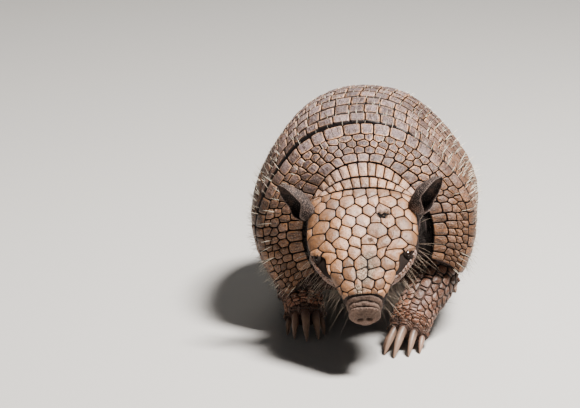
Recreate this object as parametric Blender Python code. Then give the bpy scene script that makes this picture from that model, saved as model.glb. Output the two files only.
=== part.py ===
"""A six-banded armadillo at life size, walking with its head held low, as a museum shows one.

X is the animal's left, -Y its front and Z up, in metres. The armour and the trunk are first laid
out straight and level, and posed() then rolls and swings the front, as a walking animal does.
"""

import math
import random

import bmesh
import bpy
import numpy as np
from mathutils import Matrix, Vector

# Armour, measured along the middle of the back from the front rim of the shoulder shield
SHOULDER_LENGTH = 0.050
BAND_COUNT = 7
BAND_PITCH = 0.0145
PELVIS_START = SHOULDER_LENGTH + BAND_COUNT * BAND_PITCH
SHELL_LENGTH = 0.300
PLATE_THICKNESS = 0.0034
SCUTE_RAISE = 0.0007
SCUTE_MARGIN = 0.0009
BAND_LIP = 0.0011
BETWEEN = 0.00035
UNDER_PLATES = 0.0013
BAND_SCUTES = 22
OPEN_GAP = 0.0042

# Where the highest point of the back stands
BACK_HEIGHT = 0.207
BACK_TOP_Y = 0.020

# Each row is a distance along the shell and the slope, size or angle there
BACK_SLOPE = ((0, 32), (0.050, 26), (0.118, 0), (0.1515, -13), (0.215, -38), (0.265, -60), (0.300, -74))
HALF_WIDTH = ((-0.010, 0.049), (0, 0.059), (0.018, 0.080), (0.050, 0.0995), (0.100, 0.1035), (0.150, 0.1035),
              (0.210, 0.096), (0.260, 0.078), (0.300, 0.050))
MID_HEIGHT = ((0, 0.100), (0.150, 0.100), (0.210, 0.097), (0.260, 0.089), (0.300, 0.077))
EDGE_ANGLE = ((0, 117), (0.050, 127), (0.150, 127), (0.210, 119), (0.260, 106), (0.300, 92))
FLANK_FLATNESS = 0.085
FORWARD_SWEEP = ((0, -0.002), (0.050, -0.014), (0.150, -0.014), (0.220, -0.010), (0.300, 0))
BELLY_DROP = ((0, 0.004), (0.050, 0.006), (0.150, 0.007), (0.260, 0.008), (0.300, 0.014))
CHEST_LEAN = ((0, 0.030), (0.018, 0.026), (0.040, 0.016), (0.070, 0.004), (0.110, 0))
TRUNK_SIDES = 22

# How the walk turns the front of the body
ROLL_FRONT = math.radians(8.5)
ROLL_REAR = math.radians(1.5)
ROLL_HEIGHT = 0.10
TURN_START = 0.09
TURN_LENGTH = 0.15
SWING = 0.9
SWING_START = 0.02

# Head, in its own frame: X to its left, Y back from the nose, Z up from the head shield
HEAD_PITCH = math.radians(40)
HEAD_YAW = math.radians(6)
HEAD_ROLL = math.radians(4.5)
HEAD_LENGTH = 0.130
HEAD_BACK_AT = (0.0065, -0.113, 0.148)
HEAD_HALF_WIDTH = ((0.005, 0.0115), (0.0075, 0.0136), (0.0105, 0.0130), (0.015, 0.0162), (0.024, 0.0232),
                   (0.040, 0.0330), (0.057, 0.0440), (0.076, 0.0495), (0.095, 0.0490), (0.112, 0.0465),
                   (0.130, 0.0440))
HEAD_TOP = ((0.005, -0.0085), (0.0075, -0.0062), (0.0105, -0.0065), (0.015, -0.0040), (0.024, -0.0010),
            (0.045, 0.0015), (0.076, 0.0030), (0.112, 0.0012), (0.130, -0.0020))
HEAD_UNDER = ((0.005, -0.0295), (0.0075, -0.0315), (0.0105, -0.0310), (0.016, -0.0330), (0.040, -0.0430),
              (0.076, -0.0560), (0.112, -0.0620), (0.130, -0.0640))
HEAD_SHOULDER = ((0.005, 0.0100), (0.014, 0.0110), (0.040, 0.0150), (0.076, 0.0190), (0.130, 0.0240))
HEAD_LEAN = ((0.057, 0), (0.076, 0.06), (0.095, 0.18), (0.112, 0.36), (0.130, 0.56))
HEAD_STATIONS = (0.005, 0.0075, 0.0105, 0.015, 0.025, 0.036, 0.048, 0.058, 0.068, 0.080, 0.095, 0.112, 0.130)
HEAD_SIDES = 22

# Head shield: half width at shares of its length, and how far its rows bow forward at the sides
SHIELD_FRONT = 0.014
SHIELD_BACK = 0.129
SHIELD_HALF_WIDTH = ((0, 0.0134), (0.10, 0.0205), (0.25, 0.0315), (0.38, 0.0342), (0.50, 0.0450), (0.65, 0.0475),
                     (0.80, 0.0465), (1.0, 0.0390))
SHIELD_BOW = 0.022
SHIELD_LIFT = 0.0012
SHIELD_SINK = 0.0018
SHIELD_ROWS = (3, 4, 5, 5, 6, 6, 7, 7, 7, 6)

# Neck bands lie between the head shield and the shoulder shield
NECK_BAND_EDGES = ((0.03, 0.54), (0.57, 0.96))
NECK_BAND_SCUTES = (10, 9)
NECK_REACH_SHELL = 0.50
NECK_REACH_HEAD = 0.80
NECK_BAND_THICKNESS = 0.0030

# Eyes and ears, in the head's frame
EYE_RADIUS = 0.0043
EYE_ALONG = 0.0600
EYE_OUT = 0.0403
EYE_DEPTH = 0.0016
LID_RADIUS = 0.0013
EAR_LENGTH = 0.038
EAR_BASE = (0.0470, 0.110, -0.0100)
EAR_AXIS = (0.655, 0.420, 0.628)
EAR_OPENING = (0.560, -0.785, -0.059)
EAR_HALF_WIDTH = ((0, 0.0088), (0.20, 0.0112), (0.45, 0.0124), (0.70, 0.0104), (0.90, 0.0064), (1.0, 0.0022))
EAR_WALL = 0.0014

# Limbs: each row is a point on the centre line and the half width and half depth there
FORE_LEFT = (((0.056, -0.036, 0.090), 0.020, 0.022), ((0.064, -0.044, 0.070), 0.021, 0.022),
             ((0.070, -0.056, 0.055), 0.0200, 0.0205), ((0.065, -0.074, 0.044), 0.0190, 0.0185),
             ((0.056, -0.090, 0.032), 0.0175, 0.0165), ((0.050, -0.101, 0.0205), 0.0175, 0.0190),
             ((0.048, -0.109, 0.0148), 0.0172, 0.0195))
FORE_RIGHT = (((-0.050, -0.030, 0.084), 0.020, 0.022), ((-0.057, -0.032, 0.064), 0.021, 0.022),
              ((-0.061, -0.036, 0.048), 0.0200, 0.0205), ((-0.058, -0.042, 0.036), 0.0185, 0.0180),
              ((-0.052, -0.050, 0.027), 0.0175, 0.0165), ((-0.049, -0.060, 0.019), 0.0175, 0.0175),
              ((-0.048, -0.068, 0.0155), 0.0172, 0.0175))
HIND_LEFT = (((0.056, 0.080, 0.086), 0.025, 0.027), ((0.0635, 0.084, 0.060), 0.024, 0.026),
             ((0.067, 0.100, 0.042), 0.020, 0.021), ((0.066, 0.116, 0.026), 0.0145, 0.0155),
             ((0.066, 0.114, 0.013), 0.0145, 0.0142), ((0.066, 0.094, 0.011), 0.0165, 0.0122),
             ((0.066, 0.076, 0.009), 0.0178, 0.0102))
HIND_RIGHT = (((-0.056, 0.070, 0.086), 0.025, 0.027), ((-0.0635, 0.066, 0.060), 0.024, 0.026),
              ((-0.067, 0.073, 0.042), 0.020, 0.021), ((-0.066, 0.083, 0.0265), 0.0145, 0.0155),
              ((-0.066, 0.080, 0.013), 0.0145, 0.0142), ((-0.066, 0.060, 0.011), 0.0165, 0.0122),
              ((-0.066, 0.042, 0.009), 0.0178, 0.0102))
LIMB_SIDES = 10
LIMB_STEPS = 10
LIMB_SCALE_START = 0.30
LIMB_SCALE_RAISE = 0.0008
SOLE_Z = 0.0

# Toes, from the inner to the outer one: spread across the foot, toe length, height where the claw
# starts, claw length and claw radius
FORE_TOES = ((-0.0130, 0.002, 0.014, 0.019, 0.0028), (-0.0072, 0.006, 0.020, 0.030, 0.0038),
             (0.0003, 0.008, 0.022, 0.034, 0.0042), (0.0078, 0.005, 0.019, 0.028, 0.0036),
             (0.0136, 0.001, 0.012, 0.017, 0.0027))
HIND_TOES = ((-0.0140, 0.004, 0.0075, 0.011, 0.0025), (-0.0075, 0.009, 0.0085, 0.015, 0.0031),
             (0.0, 0.011, 0.0090, 0.017, 0.0033), (0.0075, 0.009, 0.0085, 0.015, 0.0031),
             (0.0140, 0.004, 0.0075, 0.011, 0.0025))
CLAW_ARCH = 0.10
CLAW_SQUASH = 0.85
CLAW_LIFT = 0.0007

# Tail: each row is a point on the centre line and the radius there
TAIL = (((0, 0.1525, 0.080), 0.0165), ((0.001, 0.172, 0.068), 0.0145), ((0.004, 0.205, 0.047), 0.0120),
        ((0.008, 0.250, 0.029), 0.0095), ((0.010, 0.300, 0.020), 0.0072), ((0.009, 0.345, 0.016), 0.0048),
        ((0.008, 0.368, 0.015), 0.0022))
TAIL_RINGS = 15
TAIL_SIDES = 8
TAIL_SCUTE_RAISE = 0.0006


def rgb(r, g, b):
    """A colour as Blender's materials take it."""
    return (r, g, b, 1.0)


# Colour, roughness and metallic value of each material
FINISHES = {
    "armour": (rgb(0.30, 0.185, 0.115), 0.62, 0.0),
    "head_plates": (rgb(0.42, 0.265, 0.165), 0.55, 0.0),
    "hide": (rgb(0.075, 0.055, 0.050), 0.75, 0.0),
    "scaly_hide": (rgb(0.22, 0.115, 0.070), 0.65, 0.0),
    "ear": (rgb(0.12, 0.085, 0.078), 0.70, 0.0),
    "eye": (rgb(0.006, 0.005, 0.005), 0.08, 0.0),
    "claw": (rgb(0.46, 0.36, 0.25), 0.38, 0.0),
}


def smooth_through(table, at):
    """Smooth values through a table of (place, value) rows, with no overshoot between them."""
    places, values = np.array(table, float).T
    at = np.clip(np.asarray(at, float), places[0], places[-1])
    spans = np.diff(places)
    slopes = np.diff(values) / spans
    agree = slopes[:-1] * slopes[1:] > 0
    total = np.where(agree, slopes[:-1] + slopes[1:], 1.0)
    inner = np.where(agree, 2 * slopes[:-1] * slopes[1:] / total, 0.0)
    ends = np.concatenate([slopes[:1], inner, slopes[-1:]])
    i = np.clip(np.searchsorted(places, at, side="right") - 1, 0, len(spans) - 1)
    s = (at - places[i]) / spans[i]
    held = values[i] * (1 + 2 * s) * (1 - s) ** 2 + values[i + 1] * s * s * (3 - 2 * s)
    leant = spans[i] * (ends[i] * s * (1 - s) ** 2 - ends[i + 1] * s * s * (1 - s))
    return held + leant


def smooth_step(s):
    """A smooth rise from 0 to 1 as s goes from 0 to 1."""
    s = np.clip(s, 0, 1)
    return s * s * (3 - 2 * s)


def unit(v):
    """Vectors at length 1."""
    v = np.asarray(v, float)
    return v / np.linalg.norm(v, axis=-1, keepdims=True)


# The line of the back, from just before the front rim to just past the rear one
LINE_AT = np.linspace(-0.010, SHELL_LENGTH + 0.010, 641)


def back_line():
    """The height and the length along Y of the middle of the back, from its slopes."""
    slope = np.radians(smooth_through(BACK_SLOPE, LINE_AT))
    step = LINE_AT[1] - LINE_AT[0]
    along = np.concatenate([[0], np.cumsum(np.cos(slope[:-1]) * step)])
    up = np.concatenate([[0], np.cumsum(np.sin(slope[:-1]) * step)])
    top = up.argmax()
    return along - along[top] + BACK_TOP_Y, up - up[top] + BACK_HEIGHT


BACK_Y, BACK_Z = back_line()


def shell_face(along, across):
    """Points of the armour's outer face: along the back, and across from -1, the right edge, to 1."""
    along, across = np.broadcast_arrays(np.asarray(along, float), np.asarray(across, float))
    top = np.interp(along, LINE_AT, BACK_Z)
    middle = smooth_through(MID_HEIGHT, along)
    angle = across * np.radians(smooth_through(EDGE_ANGLE, along))
    flank = np.where(np.cos(angle) > 0, 1 - FLANK_FLATNESS * np.sin(2 * angle) ** 2, 1.0)
    x = smooth_through(HALF_WIDTH, along) * np.sin(angle) * flank
    y = np.interp(along, LINE_AT, BACK_Y) + smooth_through(FORWARD_SWEEP, along) * (1 - np.cos(angle))
    return np.stack([x, y, middle + (top - middle) * np.cos(angle)], -1)


def posed(points):
    """Carries points of the straight body into the walk: the front rolls and swings to the left."""
    points = np.asarray(points, float)
    x, y, z = points[..., 0], points[..., 1], points[..., 2] - ROLL_HEIGHT
    roll = ROLL_REAR + (ROLL_FRONT - ROLL_REAR) * smooth_step((TURN_START - y) / TURN_LENGTH)
    swing = SWING * np.minimum(y - SWING_START, 0) ** 2
    return np.stack([x * np.cos(roll) - z * np.sin(roll) + swing, y,
                     z * np.cos(roll) + x * np.sin(roll) + ROLL_HEIGHT], -1)


def shell(along, across, lift=0.0):
    """Points of the posed armour, lifted off its outer face."""
    nudge = 1e-4
    down = shell_face(along + nudge, across) - shell_face(along - nudge, across)
    over = shell_face(along, across + nudge) - shell_face(along, across - nudge)
    normal = unit(np.cross(over, down))
    return posed(shell_face(along, across) + normal * np.asarray(lift, float)[..., None])


def head_frame():
    """The matrix from the head's own frame to the body's."""
    turn = (Matrix.Rotation(HEAD_YAW, 4, "Z") @ Matrix.Rotation(HEAD_PITCH, 4, "X")
            @ Matrix.Rotation(-HEAD_ROLL, 4, "Y"))
    back = turn @ Vector((0, HEAD_LENGTH, 0))
    return Matrix.Translation(Vector(HEAD_BACK_AT) - back) @ turn


HEAD = head_frame()


def from_head(points):
    """Points of the head's frame, in the body's."""
    matrix = np.array(HEAD)
    return np.asarray(points, float) @ matrix[:3, :3].T + matrix[:3, 3]


def head_section(station, angle):
    """A point of the head's surface at an angle from the top, in the head's frame.

    The sections near the neck lean, with the throat ahead of the nape.
    """
    s, c = np.sin(angle), np.cos(angle)
    power = np.where(c >= 0, 2 / 2.9, 2 / 2.0)
    highest, lean = smooth_through(HEAD_TOP, station), smooth_through(HEAD_LEAN, station)
    along = np.asarray(station, float)
    for _ in range(5):
        top, under = smooth_through(HEAD_TOP, along), smooth_through(HEAD_UNDER, along)
        level = top - smooth_through(HEAD_SHOULDER, along)
        z = level + np.where(c >= 0, top - level, level - under) * np.sign(c) * np.abs(c) ** power
        x = smooth_through(HEAD_HALF_WIDTH, along) * np.sign(s) * np.abs(s) ** power
        along = station - lean * (highest - z)
    return np.stack(np.broadcast_arrays(x, along, z), -1)


def head_top(x, along):
    """The height of the head's upper surface in its own frame."""
    wide = smooth_through(HEAD_HALF_WIDTH, along)
    top = smooth_through(HEAD_TOP, along)
    level = top - smooth_through(HEAD_SHOULDER, along)
    share = np.clip(np.abs(x) / wide, 0, 0.985)
    return level + (top - level) * (1 - share**2.9) ** (1 / 2.9)


def head_skin(x, along, lift=0.0):
    """A point on the head's upper surface, lifted along its normal."""
    nudge = 1e-4
    rise_x = (head_top(x + nudge, along) - head_top(x - nudge, along)) / (2 * nudge)
    rise_y = (head_top(x, along + nudge) - head_top(x, along - nudge)) / (2 * nudge)
    normal = unit(np.stack(np.broadcast_arrays(-rise_x, -rise_y, 1.0), -1))
    flat = np.stack(np.broadcast_arrays(x, along, head_top(x, along)), -1)
    return flat + normal * np.asarray(lift, float)[..., None]


def shield(along, across, lift=0.0):
    """Points of the head shield: along from 0 at the snout to 1, across from -1 to 1."""
    x = across * smooth_through(SHIELD_HALF_WIDTH, along)
    y = SHIELD_FRONT + along * (SHIELD_BACK - SHIELD_FRONT) - SHIELD_BOW * along**2 * across**2
    return from_head(head_skin(x, y, lift))


def nape(along, across, lift=0.0):
    """Points of the nape: along from 0 at the shoulder shield to 1 at the head shield."""
    def face(u, v):
        rear = shell(np.zeros_like(v), v * NECK_REACH_SHELL)
        front = shield(np.ones_like(v), v * NECK_REACH_HEAD, np.full_like(v, SHIELD_LIFT))
        return rear + (front - rear) * u[..., None]

    nudge = 1e-3
    along, across = np.broadcast_arrays(np.asarray(along, float), np.asarray(across, float))
    ahead = face(along + nudge, across) - face(along - nudge, across)
    over = face(along, across + nudge) - face(along, across - nudge)
    normal = unit(np.cross(ahead, over))
    return face(along, across) + normal * np.asarray(lift, float)[..., None]


def new_object(name, bm, finish=None):
    """Closes a bmesh into a named object of the scene."""
    bmesh.ops.recalc_face_normals(bm, faces=bm.faces)
    mesh = bpy.data.meshes.new(name)
    bm.to_mesh(mesh)
    bm.free()
    made = bpy.data.objects.new(name, mesh)
    bpy.context.scene.collection.objects.link(made)
    if finish:
        mesh.materials.append(material(finish))
    return made


def material(name):
    """The Principled material of that name, made once."""
    found = bpy.data.materials.get(name)
    if found:
        return found
    colour, roughness, metallic = FINISHES[name]
    made = bpy.data.materials.new(name)
    made.use_nodes = True
    made.diffuse_color = colour
    shader = made.node_tree.nodes["Principled BSDF"]
    shader.inputs["Base Color"].default_value = colour
    shader.inputs["Roughness"].default_value = roughness
    shader.inputs["Metallic"].default_value = metallic
    return made


def shade(obj, angle=35):
    """Shades a round piece smooth, with its sharp edges kept."""
    obj.data.shade_smooth()
    obj.data.set_sharp_from_angle(angle=math.radians(angle))
    return obj


def loft(name, rings, finish=None, tip=False):
    """A closed tube through rings of points, with flat ends, or a point at the far end."""
    bm = bmesh.new()
    rows = [[bm.verts.new(p) for p in ring] for ring in (rings[:-1] if tip else rings)]
    count = len(rows[0])
    for near, far in zip(rows, rows[1:]):
        for i in range(count):
            j = (i + 1) % count
            bm.faces.new((near[i], near[j], far[j], far[i]))
    bm.faces.new(rows[0])
    if tip:
        end = bm.verts.new(np.mean(rings[-1], axis=0))
        for i in range(count):
            bm.faces.new((rows[-1][i], rows[-1][(i + 1) % count], end))
    else:
        bm.faces.new(rows[-1])
    return new_object(name, bm, finish)


def apply_boolean(base, modifier):
    """Applies a Boolean and keeps the largest closed surface of its result."""
    bpy.context.view_layer.update()
    graph = bpy.context.evaluated_depsgraph_get()
    result = bpy.data.meshes.new_from_object(base.evaluated_get(graph))
    base.modifiers.clear()
    base.data = result
    keep_largest(base)


def join(base, pieces):
    """Joins closed pieces to a base in one union."""
    helpers = bpy.data.collections.new("pieces")
    bpy.context.scene.collection.children.link(helpers)
    for piece in pieces:
        bpy.context.scene.collection.objects.unlink(piece)
        helpers.objects.link(piece)
    modifier = base.modifiers.new("join", "BOOLEAN")
    modifier.operation = "UNION"
    modifier.operand_type = "COLLECTION"
    modifier.collection = helpers
    modifier.solver = "EXACT"
    modifier.use_self = True
    apply_boolean(base, modifier)
    for piece in pieces:
        bpy.data.objects.remove(piece)
    bpy.data.collections.remove(helpers)
    return base


def cut(base, pieces):
    """Cuts closed pieces from a base, one after another."""
    for piece in pieces:
        modifier = base.modifiers.new("cut", "BOOLEAN")
        modifier.operation = "DIFFERENCE"
        modifier.object = piece
        modifier.solver = "MANIFOLD"
        apply_boolean(base, modifier)
        bpy.data.objects.remove(piece)
    return base


def keep_largest(obj):
    """Removes every closed surface of an object's mesh but the one of most vertices."""
    bm = bmesh.new()
    bm.from_mesh(obj.data)
    left = set(bm.verts)
    groups = []
    while left:
        group, edge = set(), [left.pop()]
        while edge:
            vertex = edge.pop()
            group.add(vertex)
            near = {e.other_vert(vertex) for e in vertex.link_edges} & left
            left -= near
            edge.extend(near)
        groups.append(group)
    groups.sort(key=len)
    for group in groups[:-1]:
        bmesh.ops.delete(bm, geom=list(group), context="VERTS")
    bm.to_mesh(obj.data)
    bm.free()


def scute_rows(edges, counts, zigzag=0.0, jitter=0.0, seed=1):
    """Cells in staggered rows, as points (along, across) and rings of indices into them.

    edges are the places of the lines between rows, and counts the cells of each row. Across runs
    from 0 to 1. Lines zigzag by a share of the row's depth, which makes the cells six-sided.
    """
    draw = random.Random(seed)
    divisions = []
    for row, count in enumerate(counts):
        inner = [(k + (0.5 if row % 2 else 0.0)) / count for k in range(count + 1)]
        inner = [s for s in inner if 0.2 / count < s < 1 - 0.2 / count]
        divisions.append([0.0] + [s + draw.uniform(-jitter, jitter) / count for s in inner] + [1.0])
    points, lines = [], []
    for line, place in enumerate(edges):
        ends = 0 < line < len(counts)
        marks = {0.0: 0.0, 1.0: 0.0}
        for row, side in ((line - 1, -1), (line, 1)):
            if 0 <= row < len(counts):
                depth = edges[row + 1] - edges[row]
                for s in divisions[row][1:-1]:
                    marks[s] = side * zigzag * depth if ends else 0.0
        kept = []
        for s in sorted(marks):
            if kept and s - kept[-1][0] < 1e-4:
                continue
            kept.append((s, len(points)))
            wander = draw.uniform(-jitter, jitter) * 0.3 * abs(edges[-1] - edges[0]) / len(counts)
            points.append((place + marks[s] + (wander if ends and 0 < s < 1 else 0.0), s))
        lines.append(kept)
    cells = []
    for row, marks in enumerate(divisions):
        for low, high in zip(marks, marks[1:]):
            under = [i for s, i in lines[row] if low - 1e-4 <= s <= high + 1e-4]
            over = [i for s, i in lines[row + 1] if low - 1e-4 <= s <= high + 1e-4]
            cells.append(under + over[::-1])
    return np.array(points), cells


def plate(name, grid, place, thickness, finish, lip=0.0, margin=SCUTE_MARGIN, raised=SCUTE_RAISE):
    """A closed plate of armour with one raised scute for each cell of its grid."""
    points, cells = grid
    along, across = points[:, 0], points[:, 1]
    share = (along - along.min()) / np.ptp(along)
    bm = bmesh.new()
    outer = [bm.verts.new(p) for p in place(along, across, share * lip)]
    inner = [bm.verts.new(p) for p in place(along, across, np.full(len(points), -thickness))]
    scutes = [bm.faces.new([outer[i] for i in cell]) for cell in cells]
    for cell in cells:
        bm.faces.new([inner[i] for i in reversed(cell)])
    sides = {(cell[k], cell[(k + 1) % len(cell)]) for cell in cells for k in range(len(cell))}
    for a, b in sides:
        if (b, a) not in sides:
            bm.faces.new((outer[b], outer[a], inner[a], inner[b]))
    bmesh.ops.recalc_face_normals(bm, faces=bm.faces)
    if raised:
        bmesh.ops.inset_individual(bm, faces=scutes, thickness=margin, depth=raised)
    return new_object(name, bm, finish)


def block(name, edges, place, low, high, steps=(4, 24)):
    """A plain closed slab over a patch of a surface, which clears the room for a plate."""
    rows = np.linspace(edges[0], edges[1], steps[0] + 1)
    columns = np.linspace(edges[2], edges[3], steps[1] + 1)
    bm = bmesh.new()
    faces = []
    for lift in (low, high):
        grid = [[bm.verts.new(p) for p in place(np.full(len(columns), r), columns, np.full(len(columns), lift))]
                for r in rows]
        faces.append(grid)
        for near, far in zip(grid, grid[1:]):
            for k in range(len(columns) - 1):
                bm.faces.new((near[k], near[k + 1], far[k + 1], far[k]))
    under, over = faces
    for a, b in ((under[0], over[0]), (under[-1], over[-1]),
                 ([row[0] for row in under], [row[0] for row in over]),
                 ([row[-1] for row in under], [row[-1] for row in over])):
        for k in range(len(a) - 1):
            bm.faces.new((a[k], a[k + 1], b[k + 1], b[k]))
    return new_object(name, bm)


def make_shoulder_shield():
    grid = scute_rows((0, 0.011, 0.0195, 0.028, 0.0345, SHOULDER_LENGTH), (15, 17, 19, 20, 20), 0.16, 0.10, seed=3)
    return plate("shoulder_shield", grid, lambda u, s, h: shell(u, 2 * s - 1, h), PLATE_THICKNESS, "armour")


def band_front(index, across):
    """Where a band starts: the first one stands open on the right side, as the body bends."""
    start = SHOULDER_LENGTH + index * BAND_PITCH
    if index:
        return start + BETWEEN * np.ones_like(across)
    open_share = smooth_step((0.25 - across) / 0.55) * smooth_step((across + 1.25) / 0.5)
    return start + BETWEEN + 0.0009 + OPEN_GAP * open_share


def make_band(index):
    """One movable band: a row of oblong scutes that rises to a lip over the band behind it."""
    end = SHOULDER_LENGTH + (index + 1) * BAND_PITCH - BETWEEN

    def place(u, s, h):
        across = 2 * s - 1
        front = band_front(index, across)
        return shell(front + u * (end - front), across, h)

    grid = scute_rows((0, 1), (BAND_SCUTES,))
    return plate(f"band_{index + 1}", grid, place, PLATE_THICKNESS, "armour", BAND_LIP)


def make_pelvic_shield():
    edges = np.linspace(PELVIS_START + BETWEEN, SHELL_LENGTH, 9)
    counts = (18, 18, 18, 18, 17, 16, 14, 12)
    grid = scute_rows(edges, counts, 0.0, 0.06, seed=5)
    return plate("pelvic_shield", grid, lambda u, s, h: shell(u, 2 * s - 1, h), PLATE_THICKNESS, "armour")


def room(name, grid, place, depth, margins, height=0.012):
    """The room that a plate takes, wider by margins along and across, and deeper than the plate."""
    points, cells = grid
    middle, reach = (points.max(axis=0) + points.min(axis=0)) / 2, np.ptp(points, axis=0) / 2
    grown = middle + (points - middle) * (1 + np.array(margins) / reach)
    return plate(name, (grown, cells), lambda u, s, h: place(u, s, np.where(h < 0, h, height)),
                 depth + UNDER_PLATES, None, raised=0)


def shield_grid():
    """The cells of the head shield."""
    return scute_rows(np.linspace(0, 1, len(SHIELD_ROWS) + 1), SHIELD_ROWS, 0.17, 0.16, seed=8)


def neck_grids():
    """The cells of the two neck bands."""
    return [scute_rows(edges, (count,), jitter=0.05, seed=number)
            for number, (edges, count) in enumerate(zip(NECK_BAND_EDGES, NECK_BAND_SCUTES))]


def make_head_shield():
    grid = shield_grid()
    made = plate("head_shield", grid, lambda u, s, h: shield(u, 2 * s - 1, h + SHIELD_LIFT),
                 SHIELD_LIFT + SHIELD_SINK, "head_plates", margin=0.0008)
    notches = [ellipsoid("notch", eye_place(side)[0], [EYE_RADIUS + 0.0006] * 3) for side in (-1, 1)]
    return cut(made, notches + [ear_room(side) for side in (-1, 1)])


def make_neck_bands():
    return [plate(f"neck_band_{number}", grid, lambda u, s, h: nape(u, 2 * s - 1, h), NECK_BAND_THICKNESS,
                  "head_plates") for number, grid in enumerate(neck_grids(), 1)]


def shell_room(end=SHELL_LENGTH):
    """The room that the shell takes from the flesh, below the flat undersides of its scutes."""
    return block("shell_room", (-0.0015, end + BETWEEN, -1.006, 1.006), shell,
                 -PLATE_THICKNESS - UNDER_PLATES, 0.02, (max(5, round(end / 0.02)), 22))


def nape_rooms():
    return [room("nape_room", grid, lambda u, s, h: nape(u, 2 * s - 1, h), NECK_BAND_THICKNESS, (0.03, 0.006))
            for grid in neck_grids()]


def shield_room():
    return room("shield_room", shield_grid(), lambda u, s, h: shield(u, 2 * s - 1, h), SHIELD_SINK, (0.006, 0.010))


def evenly(ring, count):
    """A closed ring of points laid out again at even distances, from its first point."""
    closed = np.vstack([ring, ring[:1]])
    walked = np.concatenate([[0], np.cumsum(np.linalg.norm(np.diff(closed, axis=0), axis=1))])
    at = np.linspace(0, walked[-1], count + 1)[:-1]
    return np.stack([np.interp(at, walked, closed[:, k]) for k in range(3)], -1)


def trunk_ring(along, count=TRUNK_SIDES):
    """A ring round the trunk: the underside of the armour, and the belly below its edges."""
    over = np.linspace(0, 1, 15)
    depth = -PLATE_THICKNESS - UNDER_PLATES - BETWEEN
    left = shell(np.full(15, along), over, np.full(15, depth))
    right = shell(np.full(15, along), -over[::-1], np.full(15, depth))
    sag = np.array([0, smooth_through(CHEST_LEAN, along), -smooth_through(BELLY_DROP, along)])
    round_under = np.linspace(0, math.pi, 12)[1:-1]
    middle, half = (left[-1] + right[0]) / 2, (left[-1] - right[0]) / 2
    under = middle + half * np.cos(round_under)[:, None] + sag * np.sin(round_under)[:, None]
    return evenly(np.vstack([left, under, right[:-1]]), count)


def trunk_front():
    """The front ring of the trunk, laid flat, and the way it faces."""
    ring = trunk_ring(0.003)
    centre = ring.mean(axis=0)
    _, _, axes = np.linalg.svd(ring - centre)
    normal = axes[2] * -np.sign(axes[2][1])
    return ring - ((ring - centre) @ normal)[:, None] * normal, normal


def make_trunk():
    """The trunk, from the neck to the root of the tail."""
    rings = [trunk_ring(a) for a in (0.018, 0.040, 0.070, 0.110, 0.150, 0.185, 0.215, 0.245, 0.270, 0.292)]
    last = rings[-1]
    centre = last.mean(axis=0)
    for back, size in ((0.0012, 0.84), (0.0022, 0.55)):
        rings.append(centre + (last - centre) * size + np.array([0, back, 0]))
    return loft("trunk", [trunk_front()[0]] + rings, "hide")


def neck_rings():
    """Rings from the back of the head to the front of the trunk, a clearance short of both."""
    angles = np.linspace(0, 2 * math.pi, 96, endpoint=False)
    head_end = from_head(head_section(np.full(96, HEAD_LENGTH), angles))
    front = evenly(head_end, TRUNK_SIDES)
    _, _, axes = np.linalg.svd(front - front.mean(axis=0))
    front = front + axes[2] * np.sign(axes[2][1]) * 1.5 * BETWEEN
    rear, facing = trunk_front()
    rear = rear + facing * 1.5 * BETWEEN
    return [front + (rear - front) * share for share in (0.0, 0.35, 0.7, 1.0)]


def ellipsoid(name, centre, radii, turn=None, detail=2):
    """A closed ellipsoid in the head's frame, turned by a 3 x 3 matrix."""
    bm = bmesh.new()
    bmesh.ops.create_icosphere(bm, subdivisions=detail, radius=1.0)
    turn = turn or Matrix.Identity(3)
    for vertex in bm.verts:
        size = Vector([vertex.co[k] * radii[k] for k in range(3)])
        vertex.co = HEAD @ (turn @ size + Vector(centre))
    return new_object(name, bm)


def tube(name, points, radii, sides=8, finish=None, turn_to=(0, 0, 1)):
    """A closed round tube along points. A radius may be one number or a half width and half depth."""
    points = np.asarray(points, float)
    ways = unit(np.gradient(points, axis=0))
    rings = []
    for point, way, radius in zip(points, ways, radii):
        wide, deep = radius if hasattr(radius, "__len__") else (radius, radius)
        side = unit(np.cross(way, turn_to))
        up = np.cross(side, way)
        angles = np.linspace(0, 2 * math.pi, sides, endpoint=False)
        rings.append([point + side * wide * math.cos(a) + up * deep * math.sin(a) for a in angles])
    return loft(name, rings, finish)


def eye_place(side):
    """The centre of an eye and the way it looks, in the head's frame."""
    on_skin = head_skin(np.array(EYE_OUT), np.array(EYE_ALONG))
    out = head_skin(np.array(EYE_OUT), np.array(EYE_ALONG), np.array(1.0)) - on_skin
    centre = on_skin - out * EYE_DEPTH
    return Vector(centre * (side, 1, 1)), Vector(out * (side, 1, 1)).normalized()


def make_eye(name, side):
    centre, _ = eye_place(side)
    bm = bmesh.new()
    bmesh.ops.create_uvsphere(bm, u_segments=12, v_segments=8, radius=EYE_RADIUS)
    for vertex in bm.verts:
        vertex.co = HEAD @ (vertex.co + centre)
    return shade(new_object(name, bm, "eye"), 60)


def lid(side):
    """The ring of the lids round one eye, a little longer from front to back than high."""
    centre, out = eye_place(side)
    along = (Vector((0, 1, 0)) - out * out.y).normalized()
    up = out.cross(along)
    around = np.linspace(0, 2 * math.pi, 13)[:-1]
    bm = bmesh.new()
    rings = []
    for a in around:
        way = along * math.cos(a) * 1.12 + up * math.sin(a) * 0.92
        middle = centre + way * (EYE_RADIUS + 0.0003) + out * 0.0015
        turned = [middle + way.normalized() * LID_RADIUS * math.cos(b) + out * LID_RADIUS * math.sin(b)
                  for b in np.linspace(0, 2 * math.pi, 6)[:-1]]
        rings.append([bm.verts.new(HEAD @ p) for p in turned])
    for near, far in zip(rings, rings[1:] + rings[:1]):
        for k in range(5):
            bm.faces.new((near[k], near[(k + 1) % 5], far[(k + 1) % 5], far[k]))
    return new_object("lid", bm)


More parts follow.
